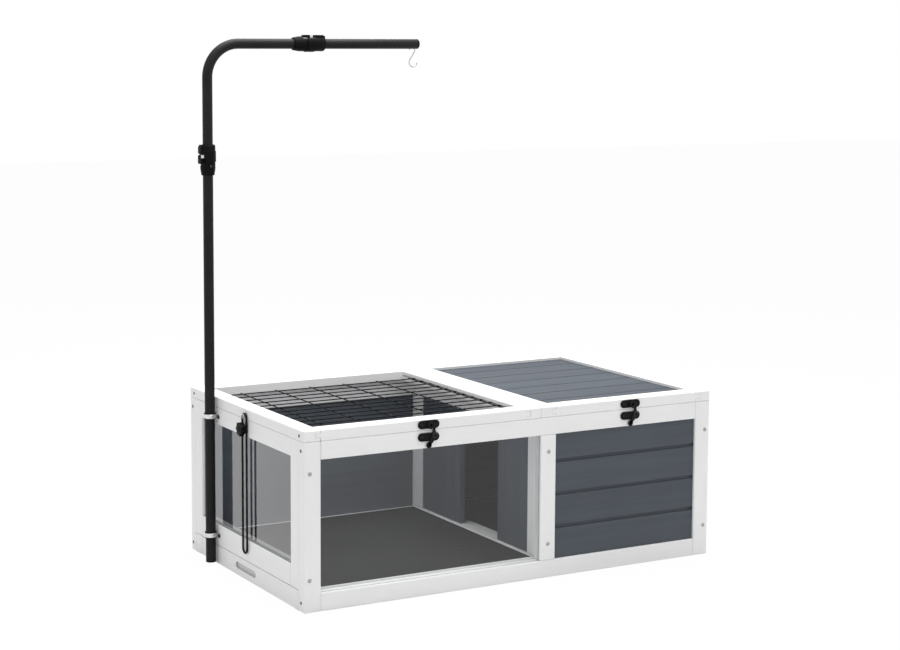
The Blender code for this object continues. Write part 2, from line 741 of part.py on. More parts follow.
def tray(side):
    left = side == "left"
    top = SIDE_OPENING - GAP
    low = RUNNER_HIGH + GAP
    near = INNER_FRONT + 2 * GAP
    far = INNER_BACK - 2 * GAP
    plank_start = LEFT if left else INNER_RIGHT
    plank_end = INNER_LEFT if left else RIGHT
    shape = new_shape()
    outline = notched_outline(near, far, TRAY_FOOT, top)
    add_prism(shape, outline, "x", plank_start, plank_end)
    front = piece(side + "_tray_front", shape, WHITE_PAINT)
    centre = FRONT + FINGER_PLACE
    straight = FINGER_LONG / 2 - FINGER_HIGH / 2
    outline = link(
        (centre - straight, FINGER_LEVEL), FINGER_HIGH / 2,
        (centre + straight, FINGER_LEVEL), FINGER_HIGH / 2, FINGER_STEPS)
    seam = INNER_BACK - END_BLOCK_LONG
    seam_end = seam + BOARD_JOINT
    over = top + OVERRUN
    recess = new_shape()
    joint = new_shape()
    if left:
        add_prism(recess, outline, "x", LEFT - OVERRUN, LEFT + FINGER_DEEP)
        add_box(joint, (LEFT - OVERRUN, seam, -OVERRUN), (LEFT + SEAM_DEEP, seam_end, over))
    else:
        add_prism(recess, outline, "x", RIGHT - FINGER_DEEP, RIGHT + OVERRUN)
        add_box(joint, (RIGHT - SEAM_DEEP, seam, -OVERRUN), (RIGHT + OVERRUN, seam_end, over))
    cut(front, recess)
    cut(front, joint)

    box_start = INNER_LEFT + GAP if left else DIVIDER_RIGHT + GAP
    box_end = DIVIDER_LEFT - GAP if left else INNER_RIGHT - GAP
    shape = new_shape()
    add_box(shape, (box_start, near, low), (box_end, far, top))
    items = [front]
    if left:
        box = piece("left_tray_box", shape, WHITE_PAINT)
        items.append(box)
    else:
        front.name = "right_tray"
        unite(front, shape)
        bridge = new_shape()
        add_box(
            bridge, (box_end - OVERRUN, near + OVERRUN, low + GAP),
            (INNER_RIGHT + OVERRUN, far - OVERRUN, top - GAP))
        unite(front, bridge)
        box = front
    base = top - TRAY_RECESS
    hollow = new_shape()
    add_box(
        hollow, (box_start + TRAY_WALL, near + TRAY_WALL, low - OVERRUN),
        (box_end - TRAY_WALL, far - TRAY_WALL, base - TRAY_FLOOR))
    cut(box, hollow)
    seat = new_shape()
    add_box(
        seat, (box_start + TRAY_RIM, near + TRAY_RIM, base),
        (box_end - TRAY_RIM, far - TRAY_RIM, top + OVERRUN))
    cut(box, seat)
    shape = new_shape()
    inset = TRAY_RIM + GAP
    add_box(
        shape, (box_start + inset, near + inset, base + GAP),
        (box_end - inset, far - inset, base + GAP + LINER_THICK))
    items.append(piece(side + "_tray_liner", shape, DARK_LINER))
    hang(pivot(side + "_tray_slide", (plank_start, 0, 0)), items)


# Lids

# The mesh lid's rails meet in open bridle joints: a tongue on each end rail sits in a slot in the side rail.
def mesh_lid_rails(start, end, groove_low, groove_high):
    inner_start = start + TIMBER_WIDE
    inner_end = end - TIMBER_WIDE
    inner_front = FRONT + TIMBER_WIDE
    inner_back = BACK - TIMBER_WIDE
    tongue_start = inner_start - TONGUE_LONG
    tongue_end = inner_end + TONGUE_LONG
    items = []
    for name, low, high in (("left", start, inner_start), ("right", inner_end, end)):
        shape = new_shape()
        add_box(shape, (low, FRONT, LID_LOW), (high, BACK, HOUSE_HEIGHT))
        rail = piece("mesh_lid_" + name + "_rail", shape, WHITE_PAINT, TIMBER_EDGE)
        slots = new_shape()
        for near, far in ((FRONT - OVERRUN, inner_front + GAP), (inner_back - GAP, BACK + OVERRUN)):
            if name == "left":
                add_box(slots, (tongue_start - GAP, near, SLOT_LOW), (inner_start + OVERRUN, far, SLOT_HIGH))
            else:
                add_box(slots, (inner_end - OVERRUN, near, SLOT_LOW), (tongue_end + GAP, far, SLOT_HIGH))
        cut(rail, slots)
        cut(rail, lid_groove(start, end, groove_low, groove_high))
        items.append(rail)
    for name, near, far in (("front", FRONT, inner_front), ("rear", inner_back, BACK)):
        shape = new_shape()
        add_box(shape, (tongue_start, near, LID_LOW), (tongue_end, far, HOUSE_HEIGHT))
        rail = piece("mesh_lid_" + name + "_rail", shape, WHITE_PAINT, TIMBER_EDGE)
        shoulders = new_shape()
        for left, right in (
                (tongue_start - OVERRUN, inner_start + GAP), (inner_end - GAP, tongue_end + OVERRUN)):
            add_box(
                shoulders, (left, near - OVERRUN, LID_LOW - OVERRUN), (right, far + OVERRUN, SLOT_LOW + GAP))
            add_box(
                shoulders, (left, near - OVERRUN, SLOT_HIGH - GAP),
                (right, far + OVERRUN, HOUSE_HEIGHT + OVERRUN))
        cut(rail, shoulders)
        if name == "front":
            cut(rail, lid_groove(start, end, groove_low, groove_high))
        items.append(rail)
    return items


# The groove round the inside of a lid's frame.
def lid_groove(start, end, low, high):
    shape = new_shape()
    add_box(
        shape,
        (start + TIMBER_WIDE - GROOVE_DEEP, FRONT + TIMBER_WIDE - GROOVE_DEEP, low),
        (end - TIMBER_WIDE + GROOVE_DEEP, BACK - TIMBER_WIDE + GROOVE_DEEP, high))
    return shape


def mesh_lid(empty):
    start = LEFT
    end = LEFT + LID_SPLIT - GAP / 2
    low = MESH_LEVEL - MESH_GROOVE / 2
    items = mesh_lid_rails(start, end, low, low + MESH_GROOVE)
    unite(items[0], stay_screw())
    items.append(wire_mesh(start + TIMBER_WIDE - PANEL_SEAT, end - TIMBER_WIDE + PANEL_SEAT))
    hang(empty, items)


# Welded mesh: the wires that run from front to back lie on the cross wires and are sunk into them.
def wire_mesh(start, end):
    radius = MESH_WIRE / 2
    flat = radius * math.cos(math.pi / WIRE_SIDES)
    step = flat - MESH_WELD / 2
    cross = new_shape()
    first = FRONT + TIMBER_WIDE - PANEL_SEAT
    wire_end = BACK - TIMBER_WIDE - DEPTH_SHORT
    cross_first = FRONT + TIMBER_WIDE + CROSS_FRONT
    cross_pitch = (wire_end - CROSS_BACK - cross_first) / (CROSS_WIRES - 1)
    for index in range(CROSS_WIRES):
        place = cross_first + cross_pitch * index
        outline = wire_outline(place, MESH_LEVEL - step, radius)
        add_prism(cross, outline, "x", start, end)
    depth = new_shape()
    edge = LEFT + TIMBER_WIDE + DEPTH_EDGE
    depth_first = edge + DEPTH_STEP
    depth_last = LEFT + LID_SPLIT - TIMBER_WIDE - DEPTH_LAST
    depth_pitch = (depth_last - depth_first) / (DEPTH_WIRES - 1)
    places = [edge] + [depth_first + depth_pitch * index for index in range(DEPTH_WIRES)]
    for place in places:
        outline = wire_outline(place, MESH_LEVEL + step, radius)
        add_prism(depth, outline, "y", first, wire_end)
    item = piece("wire_mesh", cross, BLACK_METAL)
    unite(item, depth)
    return item


# A wire's section, with a flat on top and below.
def wire_outline(place, level, radius):
    points = []
    for side in range(WIRE_SIDES):
        angle = 2 * math.pi * side / WIRE_SIDES
        points.append((place + radius * math.cos(angle), level + radius * math.sin(angle)))
    return points


def roof_lid(empty):
    start = LEFT + LID_SPLIT + GAP / 2
    end = RIGHT
    shape = new_shape()
    add_box(shape, (start, FRONT, LID_LOW), (end, BACK, HOUSE_HEIGHT))
    frame = piece("roof_lid_frame", shape, WHITE_PAINT, TIMBER_EDGE)
    opening = new_shape()
    add_box(
        opening, (start + TIMBER_WIDE, FRONT + TIMBER_WIDE, LID_LOW - OVERRUN),
        (end - TIMBER_WIDE, BACK - TIMBER_WIDE, HOUSE_HEIGHT + OVERRUN))
    cut(frame, opening)
    cut(frame, lid_groove(start, end, SLOT_LOW, SLOT_HIGH))
    boards = roof_boards(start + TIMBER_WIDE - PANEL_SEAT, end - TIMBER_WIDE + PANEL_SEAT)
    hang(empty, [frame, boards])


# Tongue and groove boards glued into one panel, with a fine line over each joint.
def roof_boards(start, end):
    near = FRONT + TIMBER_WIDE - PANEL_SEAT
    far = BACK - TIMBER_WIDE + PANEL_SEAT
    middle = (FRONT + BACK) / 2
    low = SLOT_LOW + GAP
    high = SLOT_HIGH - GAP
    outline = [(far, high), (far, low), (near, low), (near, high)]
    for index in range(1, ROOF_BOARDS):
        joint = middle + BOARD_PITCH * (index - ROOF_BOARDS / 2)
        line_start = joint - BOARD_JOINT / 2
        line_end = joint + BOARD_JOINT / 2
        bottom = high - SEAM_DEEP
        outline += [
            (line_start, high), (line_start, bottom), (line_end, bottom), (line_end, high)]
    shape = new_shape()
    add_prism(shape, outline, "x", start, end)
    return piece("roof_boards", shape, SLATE_PAINT)


# Hinges

# A knuckle and the leaf beside it, as (y, z) points.
# The direction is 1 for the lid's leaf and -1 for the frame's.
def knuckle_outline(direction, inner):
    level = LID_LOW - GAP / 2
    outer = BACK + GAP + HINGE_LEAF
    start = math.acos((outer - HINGE_Y) / HINGE_BARREL)
    points = [(inner, level + direction * HINGE_TALL), (outer, level + direction * HINGE_TALL)]
    sweep = arc((0, 0), HINGE_BARREL, start, -math.pi, BARREL_STEPS)
    points += [(HINGE_Y + u, level + direction * v) for u, v in sweep]
    points.append((inner, level))
    return points


def leaf_outline(direction, inner):
    level = LID_LOW - GAP / 2
    outer = BACK + GAP + HINGE_LEAF
    start = level + direction * (HINGE_BARREL + GAP)
    end = level + direction * HINGE_TALL
    return [(inner, start), (outer, start), (outer, end), (inner, end)]


# Butt hinges: the frame's leaf carries the pin and two knuckles, the lid's leaf the middle one.
def hinges(frame, mesh_pivot, roof_pivot):
    third = HINGE_LONG / HINGE_KNUCKLES
    level = LID_LOW - GAP / 2
    fixed = new_shape()
    knuckles = new_shape()
    pins = new_shape()
    near, far = MESH_HINGE_INSETS
    low, high = ROOF_HINGE_INSETS
    sets = (
        ("mesh_lid_left_hinge", near, mesh_pivot),
        ("mesh_lid_right_hinge", LID_SPLIT - far, mesh_pivot),
        ("roof_lid_left_hinge", LID_SPLIT + low, roof_pivot),
        ("roof_lid_right_hinge", HOUSE_WIDTH - high, roof_pivot))
    for name, place, empty in sets:
        start = LEFT + place - HINGE_LONG / 2
        end = start + HINGE_LONG
        add_prism(fixed, leaf_outline(-1, BACK - GAP), "x", start, end)
        add_prism(knuckles, knuckle_outline(-1, BACK - GAP), "x", start, start + third - GAP)
        add_prism(knuckles, knuckle_outline(-1, BACK - GAP), "x", end - third + GAP, end)
        add_pin(
            pins, (start + GAP, HINGE_Y, level), (end - GAP, HINGE_Y, level), HINGE_PIN, PIN_SIDES)
        leaf = new_shape()
        add_prism(leaf, leaf_outline(1, BACK + GAP), "x", start, end)
        item = piece(name, leaf, BRIGHT_STEEL)
        knuckle = new_shape()
        add_prism(knuckle, knuckle_outline(1, BACK + GAP), "x", start + third, end - third)
        unite(item, knuckle)
        bore = new_shape()
        add_pin(
            bore, (start, HINGE_Y, level), (end, HINGE_Y, level), HINGE_PIN + GAP, PIN_SIDES)
        cut(item, bore)
        hang(empty, [item])
    unite(frame, fixed)
    unite(frame, knuckles)
    unite(frame, pins)


# Latches

def plate_outline(x, z):
    radius = LATCH_PLATE_HIGH / 2
    straight = LATCH_PLATE_WIDE / 2 - radius
    return link((x - straight, z), radius, (x + straight, z), radius, ROUND_STEPS)


def latches(mesh_pivot, roof_pivot):
    back = FRONT - GAP
    front = back - LATCH_PLATE_THICK
    mesh_past, roof_past = LATCH_PAST
    sets = (
        ("mesh", LID_SPLIT / 2 + mesh_past, mesh_pivot),
        ("roof", (LID_SPLIT + HOUSE_WIDTH) / 2 + roof_past, roof_pivot))
    for name, place, empty in sets:
        x = LEFT + place
        keeper = new_shape()
        add_prism(keeper, plate_outline(x, HOUSE_HEIGHT - KEEPER_DROP), "y", front, back)
        item = piece(name + "_lid_keeper", keeper, BLACK_METAL)
        boss_x = x + BOSS_SIDE
        boss_z = HOUSE_HEIGHT - KEEPER_DROP - BOSS_DROP
        boss = new_shape()
        add_pin(
            boss, (boss_x, FRONT - BOSS_OUT, boss_z), (boss_x, front + LATCH_PLATE_THICK / 2, boss_z),
            BOSS_RADIUS, TUBE_SIDES)
        unite(item, boss)
        hole = new_shape()
        add_pin(
            hole, (boss_x, FRONT - BOSS_OUT - OVERRUN, boss_z), (boss_x, front, boss_z),
            BOSS_HOLE, PIN_SIDES)
        cut(item, hole)
        hang(empty, [item])

        shape = new_shape()
        add_prism(shape, plate_outline(x, HOUSE_HEIGHT - BASE_DROP), "y", front, back)
        base = piece(name + "_latch_base", shape, BLACK_METAL)
        hub_x = x + HUB_SIDE
        hub_z = HOUSE_HEIGHT - BASE_DROP + HUB_RISE
        lever_back = front - GAP
        lever_front = lever_back - LEVER_THICK
        head_back = lever_front - GAP
        head_front = head_back - STUD_HEAD_THICK
        middle = front + LATCH_PLATE_THICK / 2
        profile = (
            (0, head_front), (STUD_HEAD, head_front), (STUD_HEAD, head_back),
            (STUD_RADIUS, head_back), (STUD_RADIUS, middle), (0, middle))
        turned = [(radius, height - middle) for radius, height in profile]
        stud = new_shape()
        add_turned(stud, turned, (hub_x, middle, hub_z), (0, 1, 0), TUBE_SIDES)
        unite(base, stud)
        latch_lever(name, hub_x, hub_z, lever_front, lever_back)


def latch_lever(name, hub_x, hub_z, front, back):
    arm_tip = (hub_x + ARM_SIDE, hub_z + ARM_RISE)
    tail_tip = (hub_x - TAIL_SIDE, hub_z - TAIL_DROP)
    hub = (hub_x, hub_z)
    shape = new_shape()
    add_prism(shape, link(hub, ARM_NECK, arm_tip, ARM_RADIUS, ROUND_STEPS), "y", front, back)
    item = piece(name + "_latch_lever", shape, BLACK_METAL)
    tail = new_shape()
    add_prism(tail, link(hub, HUB_RADIUS, tail_tip, TAIL_NECK, ROUND_STEPS), "y", front, back)
    unite(item, tail)
    tab = new_shape()
    add_prism(tab, circle(tail_tip, TAIL_RADIUS, TUBE_SIDES), "y", front, back)
    unite(item, tab)
    hole = new_shape()
    add_pin(
        hole, (hub_x, front - OVERRUN, hub_z), (hub_x, back + OVERRUN, hub_z),
        STUD_RADIUS + GAP, TUBE_SIDES)
    cut(item, hole)
    hang(pivot(name + "_latch_pivot", (hub_x, front, hub_z)), [item])


# Lid stay

def stay():
    x = LEFT - STAY_OUT
    y = stay_y()
    half = STAY_WIDE / 2
    wire = STAY_WIRE / 2
    top = STAY_HIGH - wire - half
    low = STAY_LOW + wire + half
    shape = new_shape()
    path = arc((y, top), half, 0, math.pi, BEND_STEPS) + arc((y, low), half, math.pi, 2 * math.pi, BEND_STEPS)
    rings = []
    for index, (u, v) in enumerate(path):
        centre = (y, top) if index <= BEND_STEPS else (y, low)
        outward = Vector((0, u - centre[0], v - centre[1])).normalized()
        ring = []
        for side in range(STAY_SIDES):
            angle = 2 * math.pi * side / STAY_SIDES
            offset = outward * math.cos(angle) + Vector((1, 0, 0)) * math.sin(angle)
            ring.append(shape.verts.new(Vector((x, u, v)) + offset * wire))
        rings.append(ring)
    bridge_rings(shape, rings + [rings[0]])
    loop = piece("stay_loop", shape, BLACK_METAL, smooth=True)
    stay_pivot = pivot("stay_pivot", (x, y, stay_pin_level()))
    hang(stay_pivot, [loop])

    knob_in = LEFT - STAY_OUT - wire - GAP - KNOB_HUB_THICK
    knob_out = knob_in - KNOB_THICK
    shape = new_shape()
    outline = []
    steps = KNOB_LOBES * LOBE_STEPS
    for step in range(steps):
        angle = 2 * math.pi * step / steps
        radius = KNOB_RADIUS - KNOB_LOBE_DEEP * (1 - math.cos(KNOB_LOBES * angle))
        outline.append((y + radius * math.cos(angle), BOLT_LEVEL + radius * math.sin(angle)))
    add_prism(shape, outline, "x", knob_out, knob_in)
    knob = piece("stay_knob", shape, BLACK_PLASTIC)
    hub = new_shape()
    add_pin(
        hub, (knob_in - KNOB_HUB_THICK, y, BOLT_LEVEL), (knob_in + KNOB_HUB_THICK, y, BOLT_LEVEL),
        KNOB_HUB, TUBE_SIDES)
    unite(knob, hub)
    bolt = new_shape()
    add_pin(bolt, (knob_in, y, BOLT_LEVEL), (LEFT + BOLT_SUNK, y, BOLT_LEVEL), BOLT_RADIUS, PIN_SIDES)
    unite(knob, bolt)
    hang(pivot("knob_pivot", (knob_in, y, BOLT_LEVEL)), [knob])
    return stay_pivot


def stay_pin_level():
    return STAY_HIGH - STAY_WIRE - STAY_PIN - GAP


# The screw that the stay hangs on, driven into the lid's left rail.
def stay_screw():
    head_in = LEFT - STAY_OUT - STAY_WIRE / 2 - GAP
    head_out = head_in - STAY_HEAD_THICK
    inner = LEFT + STAY_OUT
    profile = (
        (0, head_out), (STAY_PIN_HEAD, head_out), (STAY_PIN_HEAD, head_in),
        (STAY_PIN, head_in), (STAY_PIN, inner), (0, inner))
    shape = new_shape()
    turned = [(radius, place - inner) for radius, place in profile]
    add_turned(shape, turned, (inner, stay_y(), stay_pin_level()), (1, 0, 0), PIN_SIDES)
    return shape


# Lamp pole

# Each clip is a band with a rubber sleeve bonded in it and one ear that is screwed to the side frame.
def pole_clips():
    inner = POLE_RADIUS + GAP
    sleeve = inner + RUBBER_THICK
    band = sleeve + CLIP_BAND
    lip = RUBBER_HIGH / 2
    half = CLIP_HIGH / 2
    levels = (CLIP_LEVEL, HOUSE_HEIGHT - CLIP_DROP)
    for name, level in zip(("lower_pole_clip", "upper_pole_clip"), levels):
        steps = (
            (-lip, sleeve), (-half - GAP, sleeve), (-half, band), (half, band), (half + GAP, sleeve),
            (lip, sleeve))
        shape = new_shape()
        stations = [((POLE_X, POLE_Y, level + rise), outer, inner) for rise, outer in steps]
        add_tube(shape, stations, TUBE_SIDES, (1, 0, 0))
        item = piece(name, shape, BRIGHT_STEEL)
        ear = new_shape()
        face = LEFT - GAP
        ear_half = half - GAP
        add_box(
            ear, (face - CLIP_EAR_THICK, POLE_Y - CLIP_EAR_END, level - ear_half),
            (face, POLE_Y, level + ear_half))
        unite(item, ear)


def pole_tube():
    shape = new_shape()
    inner = POLE_RADIUS - POLE_WALL
    start = POLE_FOOT + CAP_RIM + GAP
    stations = [((POLE_X, POLE_Y, z), POLE_RADIUS, inner) for z in (start, TUBE_TOP)]
    add_tube(shape, stations, TUBE_SIDES, (1, 0, 0))
    piece("pole_lower_tube", shape, BLACK_METAL, smooth=True)
    rim = POLE_FOOT + CAP_RIM
    plug = rim + CAP_PLUG
    profile = (
        (0, POLE_FOOT), (POLE_RADIUS - GAP, POLE_FOOT), (POLE_RADIUS, POLE_FOOT + GAP), (POLE_RADIUS, rim),
        (inner - GAP, rim), (inner - GAP, plug), (0, plug))
    shape = new_shape()
    add_turned(shape, profile, (POLE_X, POLE_Y, 0), (0, 0, 1), TUBE_SIDES)
    piece("pole_foot_cap", shape, BLACK_PLASTIC, smooth=True)


# A tube clamp, built upright round the z axis with its lever on the +X side, then moved into place.
def clamp(name, place, side, along, long):
    side = Vector(side)
    along = Vector(along)
    turn = Matrix((side, along.cross(side), along)).transposed().to_4x4()
    matrix = Matrix.Translation(place) @ turn
    bore = POLE_RADIUS + GAP

    def placed(shape):
        bmesh.ops.transform(shape, matrix=matrix, verts=shape.verts)
        return shape

    levels = (
        (0, CLAMP_END_RADIUS), (CLAMP_TAPER, CLAMP_RADIUS), (BAND_LOW, CLAMP_RADIUS),
        (BAND_LOW + CLAMP_STEP, CLAMP_BAND_RADIUS), (BAND_HIGH - CLAMP_STEP, CLAMP_BAND_RADIUS),
        (BAND_HIGH, CLAMP_RADIUS), (long - CLAMP_ROUND, CLAMP_RADIUS), (long, CLAMP_END_RADIUS))
    shape = new_shape()
    add_tube(shape, [((0, 0, w), radius, bore) for w, radius in levels], TUBE_SIDES, (1, 0, 0))
    body = piece(name + "_clamp_body", placed(shape), BLACK_PLASTIC, smooth=True)
    flat_low = PIN_RISE - LEVER_LONG - LEVER_TIP - CLAMP_ROUND
    flat_high = PIN_RISE + LEVER_CAM + CLAMP_STEP
    bump = new_shape()
    outline = (
        (bore + GAP, flat_high), (CLAMP_BUMP_HIGH - CLAMP_ROUND, flat_high),
        (CLAMP_BUMP_HIGH, flat_high + CLAMP_ROUND), (CLAMP_BUMP_HIGH, long - 2 * CLAMP_ROUND),
        (CLAMP_RADIUS, long - GAP), (bore + GAP, long - GAP))
    add_profile(bump, outline, -CLAMP_BUMP_HALF, CLAMP_BUMP_HALF)
    unite(body, placed(bump))
    flat = new_shape()
    add_box(
        flat, (CLAMP_FLAT, -CLAMP_RADIUS, flat_low),
        (CLAMP_BUMP_HIGH + OVERRUN, CLAMP_RADIUS, flat_high))
    cut(body, placed(flat))
    lug = new_shape()
    lug_low = PIN_RISE - CLAMP_LUG_LONG
    lug_high = PIN_RISE + CLAMP_LUG_LONG
    lug_inner = CLAMP_LUG_HIGH - CLAMP_STEP
    outline = (
        (bore + GAP, lug_low), (lug_inner, lug_low), (CLAMP_LUG_HIGH, lug_low + CLAMP_STEP),
        (CLAMP_LUG_HIGH, lug_high - CLAMP_STEP), (lug_inner, lug_high), (bore + GAP, lug_high))
    add_profile(lug, outline, -CLAMP_LUG_HALF, CLAMP_LUG_HALF)
    unite(body, placed(lug))
    reach = LEVER_HALF + OVERRUN

    def pin_hole():
        hole = new_shape()
        add_pin(
            hole, (PIN_OUT, -reach, PIN_RISE), (PIN_OUT, reach, PIN_RISE),
            PIN_RADIUS + GAP, PIN_SIDES)
        return placed(hole)

    cut(body, pin_hole())

    shape = new_shape()
    face = LEVER_HALF + GAP
    half = PIN_HEAD_WIDE / 2
    add_pin(shape, (PIN_OUT, -face, PIN_RISE), (PIN_OUT, face + GAP, PIN_RISE), PIN_RADIUS, PIN_SIDES)
    pin = piece(name + "_clamp_pin", placed(shape), WHITE_NYLON)
    head = new_shape()
    add_box(
        head, (PIN_OUT - half, face, PIN_RISE - half),
        (PIN_OUT + half, face + PIN_HEAD_THICK, PIN_RISE + half))
    unite(pin, placed(head))

    shape = new_shape()
    tip = (LEVER_TIP_OUT, PIN_RISE - LEVER_LONG)
    outline = link((PIN_OUT, PIN_RISE), LEVER_CAM, tip, LEVER_TIP, ROUND_STEPS)
    add_profile(shape, outline, -LEVER_HALF, LEVER_HALF)
    lever = piece(name + "_clamp_lever", placed(shape), BLACK_PLASTIC)
    fork = new_shape()
    add_box(
        fork,
        (CLAMP_FLAT - OVERRUN, -CLAMP_LUG_HALF - GAP, lug_low - CLAMP_STEP - GAP),
        (CLAMP_BUMP_HIGH + OVERRUN, CLAMP_LUG_HALF + GAP, lug_high + OVERRUN))
    cut(lever, placed(fork))
    cut(lever, pin_hole())
    hang(pivot(name + "_lever_pivot", matrix @ Vector((PIN_OUT, 0, PIN_RISE))), [lever])
    return [body, pin], bpy.data.objects[name + "_lever_pivot"]


# An outline of (x, z) points run along y.
def add_profile(shape, outline, start, end):
    add_prism(shape, outline, "y", start, end)


def swivel_bush():
    shape = new_shape()
    inner = SPIGOT_RADIUS + GAP
    start = TUBE_TOP + GAP
    stations = [((POLE_X, POLE_Y, z), POLE_RADIUS, inner) for z in (start, start + BUSH_LONG)]
    add_tube(shape, stations, TUBE_SIDES, (1, 0, 0))
    return piece("swivel_bush", shape, BLACK_PLASTIC, smooth=True)


# The bent tube: a swaged spigot, the upright, the bend and the start of the arm.
def bent_tube():
    wall = POLE_WALL
    shoulder = POLE_CLAMP_HIGH + GAP
    stations = [
        ((POLE_X, POLE_Y, shoulder - SPIGOT_LONG), SPIGOT_RADIUS, SPIGOT_RADIUS - wall),
        ((POLE_X, POLE_Y, shoulder), SPIGOT_RADIUS, SPIGOT_RADIUS - wall),
        ((POLE_X, POLE_Y, shoulder + wall), POLE_RADIUS, POLE_RADIUS - wall)]
    centre = (POLE_X + BEND_RADIUS, ARM_LEVEL - BEND_RADIUS)
    for x, z in arc(centre, BEND_RADIUS, math.pi, math.pi / 2, BEND_STEPS):
        stations.append(((x, POLE_Y, z), POLE_RADIUS, POLE_RADIUS - wall))
    end = LEFT + ARM_CLAMP_START + TUBE_STOP
    stations.append(((end, POLE_Y, ARM_LEVEL), POLE_RADIUS, POLE_RADIUS - wall))
    shape = new_shape()
    add_tube(shape, stations, TUBE_SIDES, (0, 1, 0))
    return piece("bent_tube", shape, BLACK_METAL, smooth=True)


def arm():
    wall = POLE_WALL
    start = LEFT + ARM_CLAMP_START + TUBE_STOP + GAP
    end = LEFT + ARM_TUBE_END
    inner = POLE_RADIUS - wall
    stations = [
        ((start - SPIGOT_LONG * ARM_SPIGOT_SHARE, POLE_Y, ARM_LEVEL), SPIGOT_RADIUS, SPIGOT_RADIUS - wall),
        ((start, POLE_Y, ARM_LEVEL), SPIGOT_RADIUS, SPIGOT_RADIUS - wall),
        ((start + wall, POLE_Y, ARM_LEVEL), POLE_RADIUS, inner),
        ((end, POLE_Y, ARM_LEVEL), POLE_RADIUS, inner)]
    shape = new_shape()
    add_tube(shape, stations, TUBE_SIDES, (0, 1, 0))
    tube = piece("arm_tube", shape, BLACK_METAL, smooth=True)
    low = ARM_LEVEL - POLE_RADIUS
    holes = new_shape()
    for x in hook_places():
        add_pin(
            holes, (x, POLE_Y, low - OVERRUN), (x, POLE_Y, low + wall + OVERRUN), HOOK_HOLE, PIN_SIDES)
    cut(tube, holes)
    shape = new_shape()
    rim = end + GAP
    profile = (
        (0, rim - ARM_CAP_PLUG), (inner - GAP, rim - ARM_CAP_PLUG), (inner - GAP, rim), (POLE_RADIUS, rim),
        (POLE_RADIUS, rim + ARM_CAP_RIM / 2), (POLE_RADIUS - ARM_CAP_RIM / 2, rim + ARM_CAP_RIM),
        (0, rim + ARM_CAP_RIM))
    turned = [(radius, place - rim) for radius, place in profile]
    add_turned(shape, turned, (rim, POLE_Y, ARM_LEVEL), (1, 0, 0), TUBE_SIDES)
    cap = piece("arm_end_cap", shape, BLACK_PLASTIC, smooth=True)
    return [tube, cap]


# The inner and the outer hole that the hook hangs in.
def hook_places():
    outer = LEFT + HOOK_PLACE
    return outer - 2 * HOOK_TOP_RADIUS, outer


# The S-hook's wire runs from its stub, over inside the arm, out again and round its open loop.
def s_hook():
    inner, outer = hook_places()
    level = ARM_LEVEL - POLE_RADIUS + POLE_WALL / 2
    top = ((inner + outer) / 2, level)
    path = [(inner, level - HOOK_STUB)]
    path += arc(top, HOOK_TOP_RADIUS, math.pi, 0, ROUND_STEPS)
    loop = (outer - HOOK_LOOP_SHIFT, ARM_LEVEL - HOOK_LOOP_DROP)
    loop_start = math.radians(165)
    loop_path = arc(loop, HOOK_LOOP_RADIUS, loop_start, math.radians(355), 2 * ROUND_STEPS)
    start = Vector((outer, level - HOOK_STUB))
    end = Vector(loop_path[0])
    leave = Vector((0, -HOOK_LEAD))
    arrive = Vector((-math.sin(loop_start), math.cos(loop_start))) * HOOK_LEAD
    for step in range(ROUND_STEPS):
        path.append(tuple(hermite(start, leave, end, arrive, step / ROUND_STEPS)))
    path += loop_path
    shape = new_shape()
    stations = [((x, POLE_Y, z), HOOK_WIRE, None) for x, z in path]
    add_tube(shape, stations, HOOK_SIDES, (0, 1, 0))
    hook = piece("s_hook", shape, BRIGHT_STEEL, smooth=True)
    hang(pivot("hook_pivot", (outer, POLE_Y, level)), [hook])
    return bpy.data.objects["hook_pivot"]


# A point between two points, with a direction at each.
def hermite(start, leave, end, arrive, share):
    return (
        start * (2 * share ** 3 - 3 * share ** 2 + 1) + leave * (share ** 3 - 2 * share ** 2 + share)
        + end * (3 * share ** 2 - 2 * share ** 3) + arrive * (share ** 3 - share ** 2))


def lamp_pole():
    pole_clips()
    pole_tube()
    clamp(
        "pole", (POLE_X, POLE_Y, POLE_CLAMP_LOW), (-1, 0, 0), (0, 0, 1),
        POLE_CLAMP_HIGH - POLE_CLAMP_LOW)
    swivel = pivot("swivel_pivot", (POLE_X, POLE_Y, TUBE_TOP))
    mast = pivot("mast_slide", (POLE_X, POLE_Y, POLE_CLAMP_HIGH))
    slide = pivot("arm_slide", (LEFT + ARM_CLAMP_START, POLE_Y, ARM_LEVEL))
    arm_items, arm_lever = clamp(
        "arm", (LEFT + ARM_CLAMP_START, POLE_Y, ARM_LEVEL), (0, 0, 1), (1, 0, 0),
        ARM_CLAMP_END - ARM_CLAMP_START)
    hook = s_hook()
    hang(swivel, [swivel_bush(), mast])
    hang(mast, [bent_tube(), arm_lever, slide] + arm_items)
    hang(slide, arm() + [hook])


# Whole house

def build():
    clear_scene()
    front_frame()
    frame = rear_frame()
    left_side_frame()
    right_side_frame()
    windows()
    lap_boards()
    divider()
    floor_runners()
    tray("left")
    tray("right")
    hinge_level = LID_LOW - GAP / 2
    mesh_pivot = pivot("mesh_lid_axis", (LEFT + LID_SPLIT / 2, HINGE_Y, hinge_level))
    roof_pivot = pivot("roof_lid_axis", ((LEFT + LID_SPLIT + RIGHT) / 2, HINGE_Y, hinge_level))
    mesh_lid(mesh_pivot)
    roof_lid(roof_pivot)
    hinges(frame, mesh_pivot, roof_pivot)
    latches(mesh_pivot, roof_pivot)
    hang(mesh_pivot, [stay()])
    lamp_pole()


build()
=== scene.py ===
import math

import bmesh
import bpy
from mathutils import Matrix, Vector


